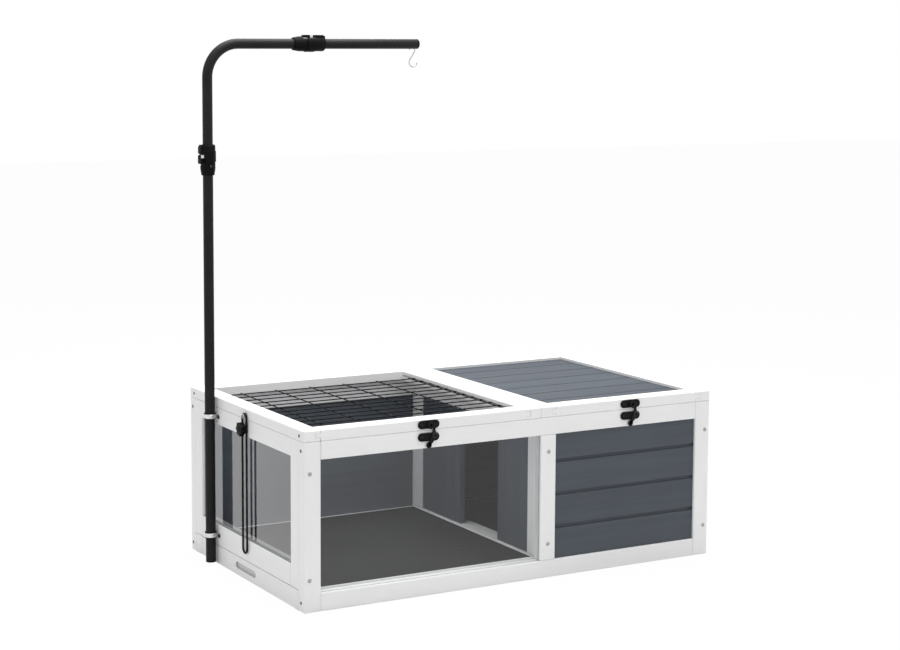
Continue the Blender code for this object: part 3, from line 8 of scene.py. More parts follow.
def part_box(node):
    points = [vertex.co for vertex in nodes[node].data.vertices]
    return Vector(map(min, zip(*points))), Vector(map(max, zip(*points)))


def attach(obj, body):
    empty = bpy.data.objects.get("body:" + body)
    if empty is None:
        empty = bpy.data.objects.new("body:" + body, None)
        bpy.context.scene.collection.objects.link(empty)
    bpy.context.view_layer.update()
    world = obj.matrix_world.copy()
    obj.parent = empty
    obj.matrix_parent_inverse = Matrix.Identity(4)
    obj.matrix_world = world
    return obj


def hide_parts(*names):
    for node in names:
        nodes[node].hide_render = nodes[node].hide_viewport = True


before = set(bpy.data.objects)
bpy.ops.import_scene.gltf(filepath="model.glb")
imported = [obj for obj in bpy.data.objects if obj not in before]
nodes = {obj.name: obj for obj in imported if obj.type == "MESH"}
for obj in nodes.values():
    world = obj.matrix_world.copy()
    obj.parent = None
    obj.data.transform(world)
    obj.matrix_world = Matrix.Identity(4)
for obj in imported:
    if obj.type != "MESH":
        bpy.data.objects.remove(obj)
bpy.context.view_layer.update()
left, front, right, back = -0.57675, -0.29, 0.42325, 0.29      # planes of the house's sides
print("frame loaded:", len(nodes), "nodes")


# Small helpers for finishes

def newFinish(name):
    finish = bpy.data.materials.new(name)
    finish.use_nodes = True
    return finish, finish.node_tree


def fill(tree, socket, value):
    # a socket takes a plain value or another node's output
    if isinstance(value, bpy.types.NodeSocket):
        tree.links.new(value, socket)
    else:
        socket.default_value = (*value, 1.0)[:4] if socket.type == "RGBA" else value


def newNode(tree, kind, inputs=None, **settings):
    node = tree.nodes.new(kind)
    for key, value in settings.items():
        setattr(node, key, value)
    for key, value in (inputs or {}).items():
        fill(tree, node.inputs[key], value)
    return node


def objectPlace(tree):
    return newNode(tree, "ShaderNodeTexCoord").outputs["Object"]


def axisValues(tree):
    # x, y and z in the piece's own space
    return newNode(tree, "ShaderNodeSeparateXYZ", {"Vector": objectPlace(tree)}).outputs


def noiseOver(tree, scale, detail, roughness=0.55, stretch=(1.0, 1.0, 1.0)):
    place = newNode(tree, "ShaderNodeMapping", {"Vector": objectPlace(tree), "Scale": stretch})
    return newNode(tree, "ShaderNodeTexNoise",
                   {"Vector": place.outputs["Vector"], "Scale": scale, "Detail": detail,
                    "Roughness": roughness}).outputs["Fac"]


def grainOver(tree, axis, along, across, *noise):
    # noise drawn out along one axis of the piece
    stretch = [across] * 3
    stretch[axis] = along
    return noiseOver(tree, 1.0, *noise, stretch=stretch)


def remap(tree, value, fromLow, fromHigh, toLow, toHigh):
    return newNode(tree, "ShaderNodeMapRange",
                   {"Value": value, "From Min": fromLow, "From Max": fromHigh,
                    "To Min": toLow, "To Max": toHigh}).outputs["Result"]


def blendColors(tree, factor, first, second):
    return newNode(tree, "ShaderNodeMix", {"Factor": factor, 6: first, 7: second},
                   data_type="RGBA").outputs[2]


def combineMath(tree, operation, first, second=0.0):
    return newNode(tree, "ShaderNodeMath", {0: first, 1: second}, operation=operation).outputs[0]


def boxMask(tree, ranges):
    # 1 within the given (axis, low, high) ranges
    values = axisValues(tree)
    inside = 1.0
    for axis, low, high in ranges:
        for side, limit in (("GREATER_THAN", low), ("LESS_THAN", high)):
            inside = combineMath(tree, "MULTIPLY", inside,
                                 combineMath(tree, side, values[axis], limit))
    return inside


def mixShaders(tree, share, first, second):
    return newNode(tree, "ShaderNodeMixShader", {0: share, 1: first, 2: second}).outputs[0]


def shareOf(color, share, lift=0.0):
    return tuple(c * share + lift for c in color)


def around(tree, noise, value, below, above):
    # a noise made into values near this one
    return remap(tree, noise, *evenNoise, value - below, value + above)


def dressed(finish, color, roughness, height, bump, specular=0.5, metal=0.0):
    tree = finish.node_tree
    strength, distance = bump
    relief = newNode(tree, "ShaderNodeBump",
                     {"Strength": strength, "Distance": distance, "Height": height})
    for key, value in (("Base Color", color), ("Roughness", roughness), ("Metallic", metal),
                       ("Specular IOR Level", specular), ("Normal", relief.outputs["Normal"])):
        fill(tree, tree.nodes["Principled BSDF"].inputs[key], value)
    return finish


# Finishes. A noise is scale, detail and sometimes roughness, and a grain along, across and
# those two. A range is from low, from high, to low, to high. A bump is strength, distance.

evenNoise = (0.3, 0.7)        # nearly all of a noise lies here
evenRange = (*evenNoise, 0.0, 1.0)
cloudRange = (0.35, 0.7, 0.0, 1.0)
alongX, alongY, alongZ = 0, 1, 2

paintSettings = {
    "color": (0.82, 0.82, 0.822),
    "worn": (0.7, 0.69, 0.67),
    "seam": ((0.3, 0.3, 0.3), 0.7),      # color of a mark, and how much of it shows
    # painted shade: the finger recess in a tray's front is painted grey where it is deep
    "recess": ((0.6, 0.6, 0.605), 1.0),
    # painted shade: the ledge that the side window stands on is painted dark grey
    "ledge": ((0.2, 0.205, 0.21), 1.0),
    "insideLightShare": 1.1,      # painted light: the divider is painted lighter, to stand for the light inside the rooms
    "sillShadeShare": 0.8,        # painted shade: the doorway's sill is painted darker, for the shade inside the rooms
    "grain": (2.5, 90.0, 5.0),
    "cloud": (9.0, 3.0),
    "speck": (260.0, 2.0),
    "softMarks": (0.35, 0.75, 0.0, 0.1),
    "brushMarks": (0.45, 0.72, 0.0, 0.12),
    "roughness": (*evenNoise, 0.37, 0.5),
    "specular": 0.35,
    "speckHigh": 0.25,
    "bump": (0.22, 0.0004),
}


def whitePaint(name, grainAxis, mark=None, places=(), share=1.0):
    # Satin white over timber: brush lines and a little grain along the piece, faint soft marks
    finish, tree = newFinish(name)
    s = paintSettings
    grain = grainOver(tree, grainAxis, *s["grain"])
    cloud = noiseOver(tree, *s["cloud"])
    speck = noiseOver(tree, *s["speck"])
    marks = combineMath(tree, "ADD", remap(tree, cloud, *s["softMarks"]),
                        remap(tree, grain, *s["brushMarks"]))
    # share gives lighter or darker copies of the paint: painted light on the divider, painted
    # shade on the sill
    color = blendColors(tree, marks, shareOf(s["color"], share), shareOf(s["worn"], share))
    # each mark: dark joint lines, or painted shade in the finger recess and on the side window's
    # ledge
    for ranges in places:
        markColor, shown = s[mark]
        shown = combineMath(tree, "MULTIPLY", boxMask(tree, ranges), shown)
        color = blendColors(tree, shown, color, markColor)
    height = combineMath(tree, "ADD", grain,
                         combineMath(tree, "MULTIPLY", speck, s["speckHigh"]))
    return dressed(finish, color, remap(tree, speck, *s["roughness"]), height, s["bump"],
                   s["specular"])


boardSettings = {
    "color": (0.066, 0.076, 0.09),
    "pale": (0.088, 0.1, 0.118),
    "dark": (0.05, 0.058, 0.07),
    "grain": (2.2, 75.0, 6.0, 0.6),
    "fine": (5.0, 260.0, 3.0),
    "cloud": (7.0, 3.0),
    "perBoard": (0.0, 1.0, 0.0, 0.22),
    "streaks": (0.42, 0.7, 0.0, 0.55),
    "patches": (0.4, 0.8, 0.0, 0.25),
    "roughness": (*evenNoise, 0.4, 0.54),
    "fineHigh": 0.2,
    "bump": (0.22, 0.0003),
    "joint": (0.004, 0.005, 0.007),
    "jointHalf": 0.0018,
    # name: grain, way across the boards, their pitch, where they start, share of the colors,
    #     # specular, and whether their joints show. The share is painted light: the roof's is
    #     higher for the
    #     # light from above, the back wall's and the divider's higher still for the light inside
    #     the rooms
    "boards": {
        "lapBoardPaint": (alongX, alongZ, 0.0718, 0.0309, 1.05, 0.22, False),
        "roofBoardLitPaint": (alongX, alongY, 0.0767, -0.2684, 1.12, 0.03, True),
        "wallBoardLitPaint": (alongX, alongZ, 0.0679, 0.036, 1.32, 0.22, False),
        "dividerBoardLitPaint": (alongZ, alongY, 0.08, -0.2, 1.32, 0.22, False),
    },
}


def slatePaint(name, grainAxis, countAxis, pitch, start, share, specular, jointed):
    # Slate stain: every board a shade of its own, with the timber's grain showing through
    finish, tree = newFinish(name)
    s = boardSettings
    # the share lightens the colors as painted light, on boards that stand in more light
    middle, pale, dark = (shareOf(s[key], share) for key in ("color", "pale", "dark"))
    grain = grainOver(tree, grainAxis, *s["grain"])
    fine = grainOver(tree, grainAxis, *s["fine"])
    cloud = noiseOver(tree, *s["cloud"])
    along = combineMath(tree, "SUBTRACT", axisValues(tree)[countAxis], start)
    board = combineMath(tree, "FLOOR", combineMath(tree, "DIVIDE", along, pitch))
    shade = newNode(tree, "ShaderNodeTexWhiteNoise", {"W": board}, noise_dimensions="1D")
    perBoard = remap(tree, shade.outputs["Value"], *s["perBoard"])
    color = blendColors(tree, perBoard, middle, pale)
    color = blendColors(tree, remap(tree, grain, *s["streaks"]), color, dark)
    color = blendColors(tree, remap(tree, cloud, *s["patches"]), color, pale)
    if jointed:
        # the open joint between two boards holds no paint
        toJoint = combineMath(tree, "PINGPONG", along, pitch / 2)
        joint = combineMath(tree, "LESS_THAN", toJoint, s["jointHalf"])
        color = blendColors(tree, joint, color, s["joint"])
    height = combineMath(tree, "ADD", grain, combineMath(tree, "MULTIPLY", fine, s["fineHigh"]))
    return dressed(finish, color, remap(tree, fine, *s["roughness"]), height, s["bump"],
                   specular)


acrylicSettings = {
    "clear": (0.975, 0.98, 0.982),
    "hazy": (0.965, 0.97, 0.973),
    "haze": (6.0, 2.0),
    "mirrorRoughness": 0.03,
    "ior": 1.49,
    "frontGloss": 1.2,
    "sideGloss": 1.7,
}


def clearAcrylic(name, gloss):
    # A thin clear sheet: it mirrors more when seen aslant, and is faintly smoky
    finish, tree = newFinish(name)
    s = acrylicSettings
    tree.nodes.remove(tree.nodes["Principled BSDF"])
    haze = remap(tree, noiseOver(tree, *s["haze"]), *evenRange)
    through = newNode(tree, "ShaderNodeBsdfTransparent",
                      {"Color": blendColors(tree, haze, s["clear"], s["hazy"])})
    mirror = newNode(tree, "ShaderNodeBsdfGlossy",
                     {"Roughness": s["mirrorRoughness"], "Color": (1, 1, 1)})
    edge = newNode(tree, "ShaderNodeFresnel", {"IOR": s["ior"]})
    # only the outward face of the sheet mirrors
    inner = newNode(tree, "ShaderNodeNewGeometry").outputs["Backfacing"]
    outer = combineMath(tree, "SUBTRACT", 1.0, inner)
    share = combineMath(tree, "MULTIPLY",
                        combineMath(tree, "MULTIPLY", edge.outputs[0], outer), gloss)
    tree.links.new(mixShaders(tree, share, through.outputs[0], mirror.outputs[0]),
                   tree.nodes["Material Output"].inputs["Surface"])
    return finish


linerSettings = {
    "dark": (0.0062, 0.0062, 0.0065),
    "pale": (0.0098, 0.0098, 0.0101),
    "grit": (0.032, 0.032, 0.032),
    "fine": (900.0, 3.0, 0.7),
    "cloud": (14.0, 4.0),
    "gritRange": (0.56, 0.72, 0.0, 0.7),
    "roughness": 0.78,
    "specular": 0.25,
    "bump": (0.6, 0.0004),
}


def grittyLiner():
    # Waterproof felt on the trays: fine pale specks over charcoal
    finish, tree = newFinish("trayLiner")
    s = linerSettings
    fine = noiseOver(tree, *s["fine"])
    cloud = remap(tree, noiseOver(tree, *s["cloud"]), *cloudRange)
    color = blendColors(tree, cloud, s["dark"], s["pale"])
    color = blendColors(tree, remap(tree, fine, *s["gritRange"]), color, s["grit"])
    return dressed(finish, color, s["roughness"], fine, s["bump"], s["specular"])


coatSettings = {
    "peel": (620.0, 3.0),
    "broad": (22.0, 3.0),
    "lighter": (1.3, 0.001),
    "spread": (0.05, 0.1),
    "bump": (0.2, 0.0001),
    # name: color, roughness, specular
    "coats": {
        "tubePowderCoat": ((0.0065, 0.0065, 0.0067), 0.42, 0.18),
        "wirePowderCoat": ((0.004, 0.004, 0.0042), 0.44, 0.1),
        "latchPowderCoat": ((0.0032, 0.0032, 0.0032), 0.46, 0.13),
        # painted light: the lever's coat is the latch's black made lighter, to stand for light on
        # the lever
        "leverLitPowderCoat": ((0.007, 0.007, 0.007), 0.46, 0.13),
    },
}


def powderCoat(name, color, roughness, specular):
    # Black powder coat on steel: orange peel and tiny pits
    finish, tree = newFinish(name)
    s = coatSettings
    peel = noiseOver(tree, *s["peel"])
    broad = remap(tree, noiseOver(tree, *s["broad"]), *cloudRange)
    color = blendColors(tree, broad, color, shareOf(color, *s["lighter"]))
    rough = around(tree, peel, roughness, *s["spread"])
    return dressed(finish, color, rough, peel, s["bump"], specular)


plasticSettings = {
    "grainScale": 1100.0,
    "cloud": (60.0, 3.0),
    "lighter": (1.4, 0.001),
    "spread": (0.04, 0.08),
    "bump": (0.25, 0.0001),
    # name: color, roughness, specular
    "plastics": {
        "blackPlastic": ((0.0022, 0.0022, 0.0022), 0.5, 0.08),
        "blackRubber": ((0.007, 0.007, 0.007), 0.75, 0.12),
    },
}


def mouldedBlack(name, color, roughness, specular):
    # Moulded plastic with a fine spark-eroded grain
    finish, tree = newFinish(name)
    s = plasticSettings
    grain = newNode(tree, "ShaderNodeTexVoronoi",
                    {"Vector": objectPlace(tree), "Scale": s["grainScale"]})
    cloud = noiseOver(tree, *s["cloud"])
    color = blendColors(tree, remap(tree, cloud, *cloudRange), color,
                        shareOf(color, *s["lighter"]))
    rough = around(tree, cloud, roughness, *s["spread"])
    return dressed(finish, color, rough, grain.outputs["Distance"], s["bump"], specular)


steelSettings = {
    "cloud": (240.0, 3.0),
    "drawn": (1500.0, 60.0, 3.0),
    "darker": 0.72,
    "metal": 0.9,
    "spread": (0.08, 0.12),
    "bump": (0.15, 0.0001),
    # name: roughness, color
    "steels": {
        "zincPlate": (0.3, (0.62, 0.62, 0.61)),
        "screwZinc": (0.28, (0.5, 0.5, 0.5)),
        "darkScrew": (0.4, (0.1, 0.1, 0.1)),
        "latchScrew": (0.5, (0.03, 0.03, 0.03)),
        "clipZinc": (0.34, (0.8, 0.8, 0.79)),
        "hookSteel": (0.32, (0.54, 0.54, 0.54)),
    },
}


def zincSteel(name, roughness, color):
    # Zinc plate: faint cloudy spangle and drawn lines
    finish, tree = newFinish(name)
    s = steelSettings
    cloud = remap(tree, noiseOver(tree, *s["cloud"]), *cloudRange)
    drawn = grainOver(tree, alongZ, *s["drawn"])
    color = blendColors(tree, cloud, color, shareOf(color, s["darker"]))
    rough = around(tree, drawn, roughness, *s["spread"])
    return dressed(finish, color, rough, drawn, s["bump"], metal=s["metal"])


nylonSettings = {
    "color": (0.74, 0.74, 0.735),
    "shade": (0.66, 0.66, 0.655),
    "cloud": (400.0, 3.0),
    "roughness": 0.4,
    "bump": (0.15, 0.0002),
}


def whiteNylon():
    # Plain white with a faint milky cloud
    finish, tree = newFinish("whiteNylon")
    s = nylonSettings
    cloud = noiseOver(tree, *s["cloud"])
    color = blendColors(tree, remap(tree, cloud, *evenRange), s["color"], s["shade"])
    return dressed(finish, color, s["roughness"], cloud, s["bump"])


skin = 0.001                  # reaches just past a face, so that a mark takes in the face itself
seamHalf = 0.0003             # half the width of a joint's line


def seam(axis, value, *ranges):
    return [(axis, value - seamHalf, value + seamHalf), *ranges]


# lines of the lids' bridle joints: a tongue between two shoulders, on the front and the rear rail
jointSettings = {
    "tongueLow": 0.3537,
    "tongueHigh": 0.3643,
    "tongues": ((0.5843, 0.5956), (0.9763, 0.9615)),      # end of the tongue, shoulder
    "railWide": 0.0375,
    "lidLow": 0.3,
    "lidHigh": 0.4,
}


def lidSeams():
    s = jointSettings
    low, high = s["tongueLow"], s["tongueHigh"]
    seams = []
    for end, shoulder in s["tongues"]:
        end, shoulder = left + end, left + shoulder
        across = (alongX, min(end, shoulder), max(end, shoulder))
        for rail in ((alongY, front - skin, front + s["railWide"]),
                     (alongY, back - s["railWide"], back + skin)):
            seams += [seam(alongX, shoulder, rail, (alongZ, high, s["lidHigh"])),
                      seam(alongX, shoulder, rail, (alongZ, s["lidLow"], low)),
                      seam(alongX, end, rail, (alongZ, low, high)),
                      seam(alongZ, low, rail, across), seam(alongZ, high, rail, across)]
    return seams


# lines round the end grain of the rear bottom rail, on the left side
endGrain = {
    "low": 0.264,
    "middle": 0.25,
    "start": 0.274,
    "top": 0.038,
    "step": 0.03,
}


def frameSeams():
    s = endGrain
    side = (alongX, left - skin, left + skin)
    return [seam(alongY, s["start"], side, (alongZ, 0.0, s["top"])),
            seam(alongY, s["low"], side, (alongZ, 0.0, s["step"])),
            seam(alongZ, s["top"], side, (alongY, s["middle"], s["start"])),
            seam(alongZ, s["step"], side, (alongY, s["middle"], s["low"]))]


# painted shade: the finger recess in a tray's front is painted darker where it is deep, and the
# ledge that the side
# # window stands on is painted a dull dark grey for the shade there
markSettings = {
    "recess": [(alongY, -0.058, 0.05), (alongZ, 0.013, 0.031)],
    "recessDeep": (0.0008, 0.009),
    "ledge": [(alongX, left + 0.0006, left + 0.04), (alongZ, 0.0886, 0.1)],
}
near, far = markSettings["recessDeep"]
leftRecessShade = markSettings["recess"] + [(alongX, left + near, left + far)]
rightRecessShade = markSettings["recess"] + [(alongX, right - far, right - near)]

paintX = whitePaint("whitePaintRails", alongX)
paintY = whitePaint("whitePaintSideRails", alongY)
paintZ = whitePaint("whitePaintPosts", alongZ)
framePaint = whitePaint("whitePaintRearFrame", alongX, "seam", frameSeams())
lidPaint = whitePaint("whitePaintRoofLid", alongX, "seam", lidSeams())
leftTrayPaint = whitePaint("whitePaintLeftTray", alongY, "recess", [leftRecessShade])
rightTrayPaint = whitePaint("whitePaintRightTray", alongY, "recess", [rightRecessShade])
ledgeShadePaint = whitePaint("whitePaintWindowLedgeShade", alongY, "ledge", [markSettings["ledge"]])
insideLitPaint = whitePaint("whitePaintDividerLit", alongY, share=paintSettings["insideLightShare"])
sillShadedPaint = whitePaint("whitePaintSillShaded", alongY, share=paintSettings["sillShadeShare"])
lapPaint, roofBoardsLit, wallBoardsLit, dividerBoardsLit = (
    slatePaint(name, *look) for name, look in boardSettings["boards"].items())
frontAcrylic = clearAcrylic("frontAcrylic", acrylicSettings["frontGloss"])
sideAcrylic = clearAcrylic("sideAcrylic", acrylicSettings["sideGloss"])
liner = grittyLiner()
tubeCoat, wireCoat, latchCoat, leverLitCoat = (
    powderCoat(name, *look) for name, look in coatSettings["coats"].items())
blackPlastic, rubber = (
    mouldedBlack(name, *look) for name, look in plasticSettings["plastics"].items())
zinc, screwZinc, darkScrew, latchScrew, clipZinc, hookSteel = (
    zincSteel(name, *look) for name, look in steelSettings["steels"].items())
nylon = whiteNylon()

# for the nodes that no new piece replaces
nodeFinishes = {
    paintX: ("front_top_rail", "front_bottom_rail", "mesh_lid_front_rail", "mesh_lid_rear_rail",
             "front_runner", "rear_runner"),
    framePaint: ("rear_frame",),
    lidPaint: ("roof_lid_frame",),
    leftTrayPaint: ("left_tray_front",),
    rightTrayPaint: ("right_tray",),
    ledgeShadePaint: ("left_lower_rail",),
    paintY: ("left_top_rail", "right_side_frame", "left_tray_box",
             "mesh_lid_left_rail", "mesh_lid_right_rail"),
    insideLitPaint: ("divider_frame",),
    sillShadedPaint: ("divider_bottom_rail",),
    paintZ: ("front_left_post", "front_mid_post", "front_right_post", "left_front_stile",
             "left_rear_stile"),
    lapPaint: ("front_boards", "right_side_boards"),
    wallBoardsLit: ("back_panel",),
    dividerBoardsLit: ("divider_boards",),
    roofBoardsLit: ("roof_boards",),
    frontAcrylic: ("front_window",),
    sideAcrylic: ("side_window",),
    liner: ("left_tray_liner", "right_tray_liner"),
}
for finish, names in nodeFinishes.items():
    for name in names:
        nodes[name].data.materials.clear()
        nodes[name].data.materials.append(finish)
print("finishes:", len(nodeFinishes), "on", sum(len(n) for n in nodeFinishes.values()), "nodes")


# Small helpers for pieces

same = 1e-6                   # points nearer than this are one point
# degrees between two faces up to which their edge is smooth
smoothBelow = {"turned": 30.0, "moulded": 34.0, "plate": 35.0, "pressed": 38.0, "round": 40.0,
               "loop": 50.0, "wire": 60.0}
outFront, outLeft, outRight, outBack = (0, -1, 0), (-1, 0, 0), (1, 0, 0), (0, 1, 0)


def meshOf(name, shape, finish):
    mesh = bpy.data.meshes.new(name)
    shape.to_mesh(mesh)
    shape.free()
    mesh.materials.append(finish)
    return mesh


def finishPiece(name, shape, finish, body, form="plate", standsFor=()):
    bmesh.ops.recalc_face_normals(shape, faces=shape.faces)
    mesh = meshOf(name, shape, finish)
    mesh.shade_smooth()
    mesh.set_sharp_from_angle(angle=math.radians(smoothBelow[form]))
    piece = addObject(name, mesh)
    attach(piece, body)
    if standsFor:
        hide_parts(*standsFor)


def addObject(name, data):
    thing = bpy.data.objects.new(name, data)
    bpy.context.scene.collection.objects.link(thing)
    return thing


def move(shape, place):
    bmesh.ops.transform(shape, matrix=place, verts=shape.verts)
    return shape


def easeEdges(shape, edges, size, steps=2):
    bmesh.ops.bevel(shape, geom=edges, offset=size, offset_type="OFFSET", segments=steps,
                    profile=0.5, affect="EDGES", clamp_overlap=True, material=-1)


def sharpEdges(shape, angle=1.0):
    # the angle between an edge's two faces is in radians
    return [e for e in shape.edges if e.calc_face_angle(0.0) > angle]


def vertsOf(geometry):
    return [part for part in geometry if isinstance(part, bmesh.types.BMVert)]


def thicken(shape, thick):
    # gives a flat face a back, thick higher up z
    lifted = bmesh.ops.extrude_face_region(shape, geom=shape.faces[:], use_keep_orig=True)
    bmesh.ops.translate(shape, verts=vertsOf(lifted["geom"]), vec=(0, 0, thick))


def turned(profile, steps=40):
    # (radius, height) points spun round the z axis
    shape = bmesh.new()
    points = [shape.verts.new((radius, 0.0, height)) for radius, height in profile]
    for first, second in zip(points, points[1:]):
        shape.edges.new((first, second))
    bmesh.ops.spin(shape, geom=shape.verts[:] + shape.edges[:], cent=(0, 0, 0), axis=(0, 0, 1),
                   angle=2 * math.pi, steps=steps, use_merge=True)
    bmesh.ops.remove_doubles(shape, verts=shape.verts, dist=same)
    return shape


def facing(place, direction, roll=0.0):
    # a matrix that stands a shape's z axis along direction at place
    turn = Vector(direction).to_track_quat("Z", "Y").to_matrix().to_4x4()
    return Matrix.Translation(place) @ turn @ Matrix.Rotation(roll, 4, "Z")


def addCopies(shape, source, places):
    pattern = bpy.data.meshes.new("pattern")
    source.to_mesh(pattern)
    for place in places:
        before = len(shape.verts)
        shape.from_mesh(pattern)
        shape.verts.ensure_lookup_table()
        bmesh.ops.transform(shape, matrix=place, verts=shape.verts[before:])
    bpy.data.meshes.remove(pattern)


def joinShapes(*shapes):
    whole = bmesh.new()
    for shape in shapes:
        addCopies(whole, shape, [Matrix.Identity(4)])
        shape.free()
    return whole


copySettings = {
    "merge": 2e-6,
    "flat": 0.4,              # degrees between faces that count as one
}


def copyOfNode(nodeName, ease=0.0, angle=50.0, steps=2):
    # the CAD node's own form, merged, with its sharp edges eased
    shape = bmesh.new()
    shape.from_mesh(nodes[nodeName].data)
    bmesh.ops.remove_doubles(shape, verts=shape.verts, dist=copySettings["merge"])
    bmesh.ops.dissolve_limit(shape, angle_limit=math.radians(copySettings["flat"]),
                             verts=shape.verts, edges=shape.edges)
    if ease:
        easeEdges(shape, sharpEdges(shape, math.radians(angle)), ease, steps)
    return shape


def wireMesh(paths, radius, sides, closed=False):
    # round wires along lists of points, as one mesh
    curve = bpy.data.curves.new("wire", "CURVE")
    curve.dimensions = "3D"
    curve.bevel_depth = radius
    curve.bevel_resolution = sides
    curve.use_fill_caps = True
    for path in paths:
        spline = curve.splines.new("POLY")
        spline.points.add(len(path) - 1)
        for point, place in zip(spline.points, path):
            point.co = (*place, 1.0)
        spline.use_cyclic_u = closed
    holder = addObject("wire", curve)
    bpy.context.view_layer.update()
    mesh = bpy.data.meshes.new_from_object(holder.evaluated_get(
        bpy.context.evaluated_depsgraph_get()))
    bpy.data.objects.remove(holder)
    bpy.data.curves.remove(curve)
    shape = bmesh.new()
    shape.from_mesh(mesh)
    bpy.data.meshes.remove(mesh)
    bmesh.ops.remove_doubles(shape, verts=shape.verts, dist=same)
    return shape


def arcPoints(center, radius, start, end, steps, across):
    # from across towards z
    center, across, up = Vector(center), Vector(across), Vector((0, 0, 1))
    angles = [start + (end - start) * index / steps for index in range(steps + 1)]
    return [center + across * radius * math.cos(angle) + up * radius * math.sin(angle)
            for angle in angles]


# Screws

screwSettings = {
    "steps": 32,
    "radius": 0.004,
    "rim": 0.0033,
    "high": 0.0013,
    "flat": 0.0024,
    "shoulder": 0.35,         # shares of the height at which the dome starts and ends
    "dome": 0.85,
    "crossLong": 0.0019,
    "crossWide": 0.00042,
    "crossDeep": 0.0009,
    "crossFloor": 0.72,
    "sunk": -0.0003,          # on the right side the heads are flush
    "big": 0.0045,
    "leftSmall": (0.0036, 0.0005),      # radius and height of the head
    "rightSmall": (0.0036, 0.0003),
    # x and z from the house's front left foot, and the turn of the cross
    "front": ((0.013, 0.283, 0.4), (0.012, 0.066, 1.1), (0.577, 0.273, 0.2),
              (0.577, 0.073, 0.9), (0.988, 0.283, 0.6), (0.988, 0.0665, 1.3)),
    # y and z from the same foot, and the turn
    "side": ((0.014, 0.328, 0.5), (0.0147, 0.018, 0.9), (0.568, 0.327, 0.2),
             (0.5715, 0.017, 1.2)),
    "lid": ((0.0216, 0.3577, 0.3), (0.56, 0.358, 0.8)),
    "backTurn": 0.4,
}


def screwHead(radius, rim, high, flat):
    # a pan head with a cross recess, its foot on the z plane
    s = screwSettings
    head = turned([(radius, 0.0), (radius, high * s["shoulder"]), (rim, high * s["dome"]),
                   (flat, high)], s["steps"])
    top = [v for v in head.verts if v.co.z > high - same]
    ring = [e for e in head.edges if all(v in top for v in e.verts)]
    share = radius / s["radius"]
    long, wide = s["crossLong"] * share, s["crossWide"] * share
    corners = []
    for quarter in range(4):
        turn = Matrix.Rotation(math.pi / 2 * quarter, 3, "Z")
        corners += [turn @ Vector(corner) for corner in
                    ((long, -wide, high), (long, wide, high), (wide, wide, high))]
    points = [head.verts.new(corner) for corner in corners]
    cross = [head.edges.new(pair) for pair in zip(points, points[1:] + points[:1])]
    bmesh.ops.triangle_fill(head, use_beauty=True, edges=ring + cross)
    # what lies inside the cross goes down into the head
    inner = [f for f in head.faces if all(v in points for v in f.verts)
             and min(abs(part) for part in f.calc_center_median().xy) < wide]
    bmesh.ops.delete(head, geom=inner, context="FACES")
    sunk = bmesh.ops.extrude_edge_only(head, edges=cross)
    low = vertsOf(sunk["geom"])
    bmesh.ops.scale(head, verts=low, vec=(s["crossFloor"], s["crossFloor"], 1.0))
    bmesh.ops.translate(head, verts=low, vec=(0, 0, -s["crossDeep"]))
    edges = [e for e in sunk["geom"] if isinstance(e, bmesh.types.BMEdge)
             and all(v in low for v in e.verts)]
    bmesh.ops.edgeloop_fill(head, edges=edges)
    bmesh.ops.edgeloop_fill(head, edges=[e for e in head.edges if e.is_boundary])
    return head


def screwSet(name, finish, body, places, radius, high=None):
    s = screwSettings
    share = radius / s["radius"]
    head = screwHead(radius, s["rim"] * share, high or s["high"] * share, s["flat"] * share)
    shape = bmesh.new()
    addCopies(shape, head, places)
    head.free()
    finishPiece(name, shape, finish, body, "turned")


def makeScrews():
    s = screwSettings
    screwSet("frontScrews", screwZinc, "house",
             [facing((left + x, front, z), outFront, turn) for x, z, turn in s["front"]],
             s["big"])
    sunkSide = right + s["sunk"]
    for name, body, rows, side, out, head in (
            ("leftSide", "house", s["side"], left, outLeft, s["leftSmall"]),
            ("meshLid", "mesh_lid", s["lid"], left, outLeft, s["leftSmall"]),
            ("rightSide", "house", s["side"], sunkSide, outRight, s["rightSmall"]),
            ("roofLid", "roof_lid", s["lid"], sunkSide, outRight, s["rightSmall"])):
        places = [facing((side, front + y, z), out, turn) for y, z, turn in rows]
        screwSet(name + "Screws", darkScrew, body, places, *head)
    screwSet("backScrews", screwZinc, "house",
             [facing((left + x, back, z), outBack, s["backTurn"] + x) for x, z, _ in s["front"]],
             s["big"])


# Mesh of the left lid

meshSettings = {
    "radius": 0.0013,
    "sides": 2,
    "level": 0.3596,
    "apart": 0.85,            # a wire's middle lies this share of its radius off the level
    "crossFirst": 0.485,      # front of the house to the rearmost cross wire
    "crossPitch": 0.038,
    "crossCount": 12,
    "depthPlaces": (0.0405, 0.0905, 0.1757, 0.2609, 0.3461, 0.4313, 0.5165),
    "depthEnd": 0.508,
}


def makeMesh():
    s = meshSettings
    low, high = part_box("wire_mesh")
    apart = s["radius"] * s["apart"]
    under, over = s["level"] - apart, s["level"] + apart
    paths = [[(left + x, low.y, under), (left + x, front + s["depthEnd"], under)]
             for x in s["depthPlaces"]]
    for index in range(s["crossCount"]):
        y = front + s["crossFirst"] - s["crossPitch"] * index
        paths.append([(low.x, y, over), (high.x, y, over)])
    shape = wireMesh(paths, s["radius"], s["sides"])
    finishPiece("weldedMesh", shape, wireCoat, "mesh_lid", "wire",
                ["wire_mesh"])


# Tubes of the lamp pole

poleSettings = {
    "x": -0.59075,
    "y": 0.149,
    "radius": 0.011,
    "wall": 0.0012,
    "ease": 0.0004,
    "steps": 56,
    "bend": 0.072,
    "bendSteps": 24,
    "bendSides": 9,
    "armLevel": 1.1323,
    "bentStart": 0.9172,      # where the bent tube has its whole width
    "spigotTip": 0.0082,
    "spigot": 0.009,
    "spigotEase": 0.0008,
    "spigotSteps": 48,
    "swage": 0.0105,
    "swageBelow": 0.004,
    "swageAbove": 0.002,
}


def onPole(shape):
    s = poleSettings
    return move(shape, Matrix.Translation((s["x"], s["y"], 0)))


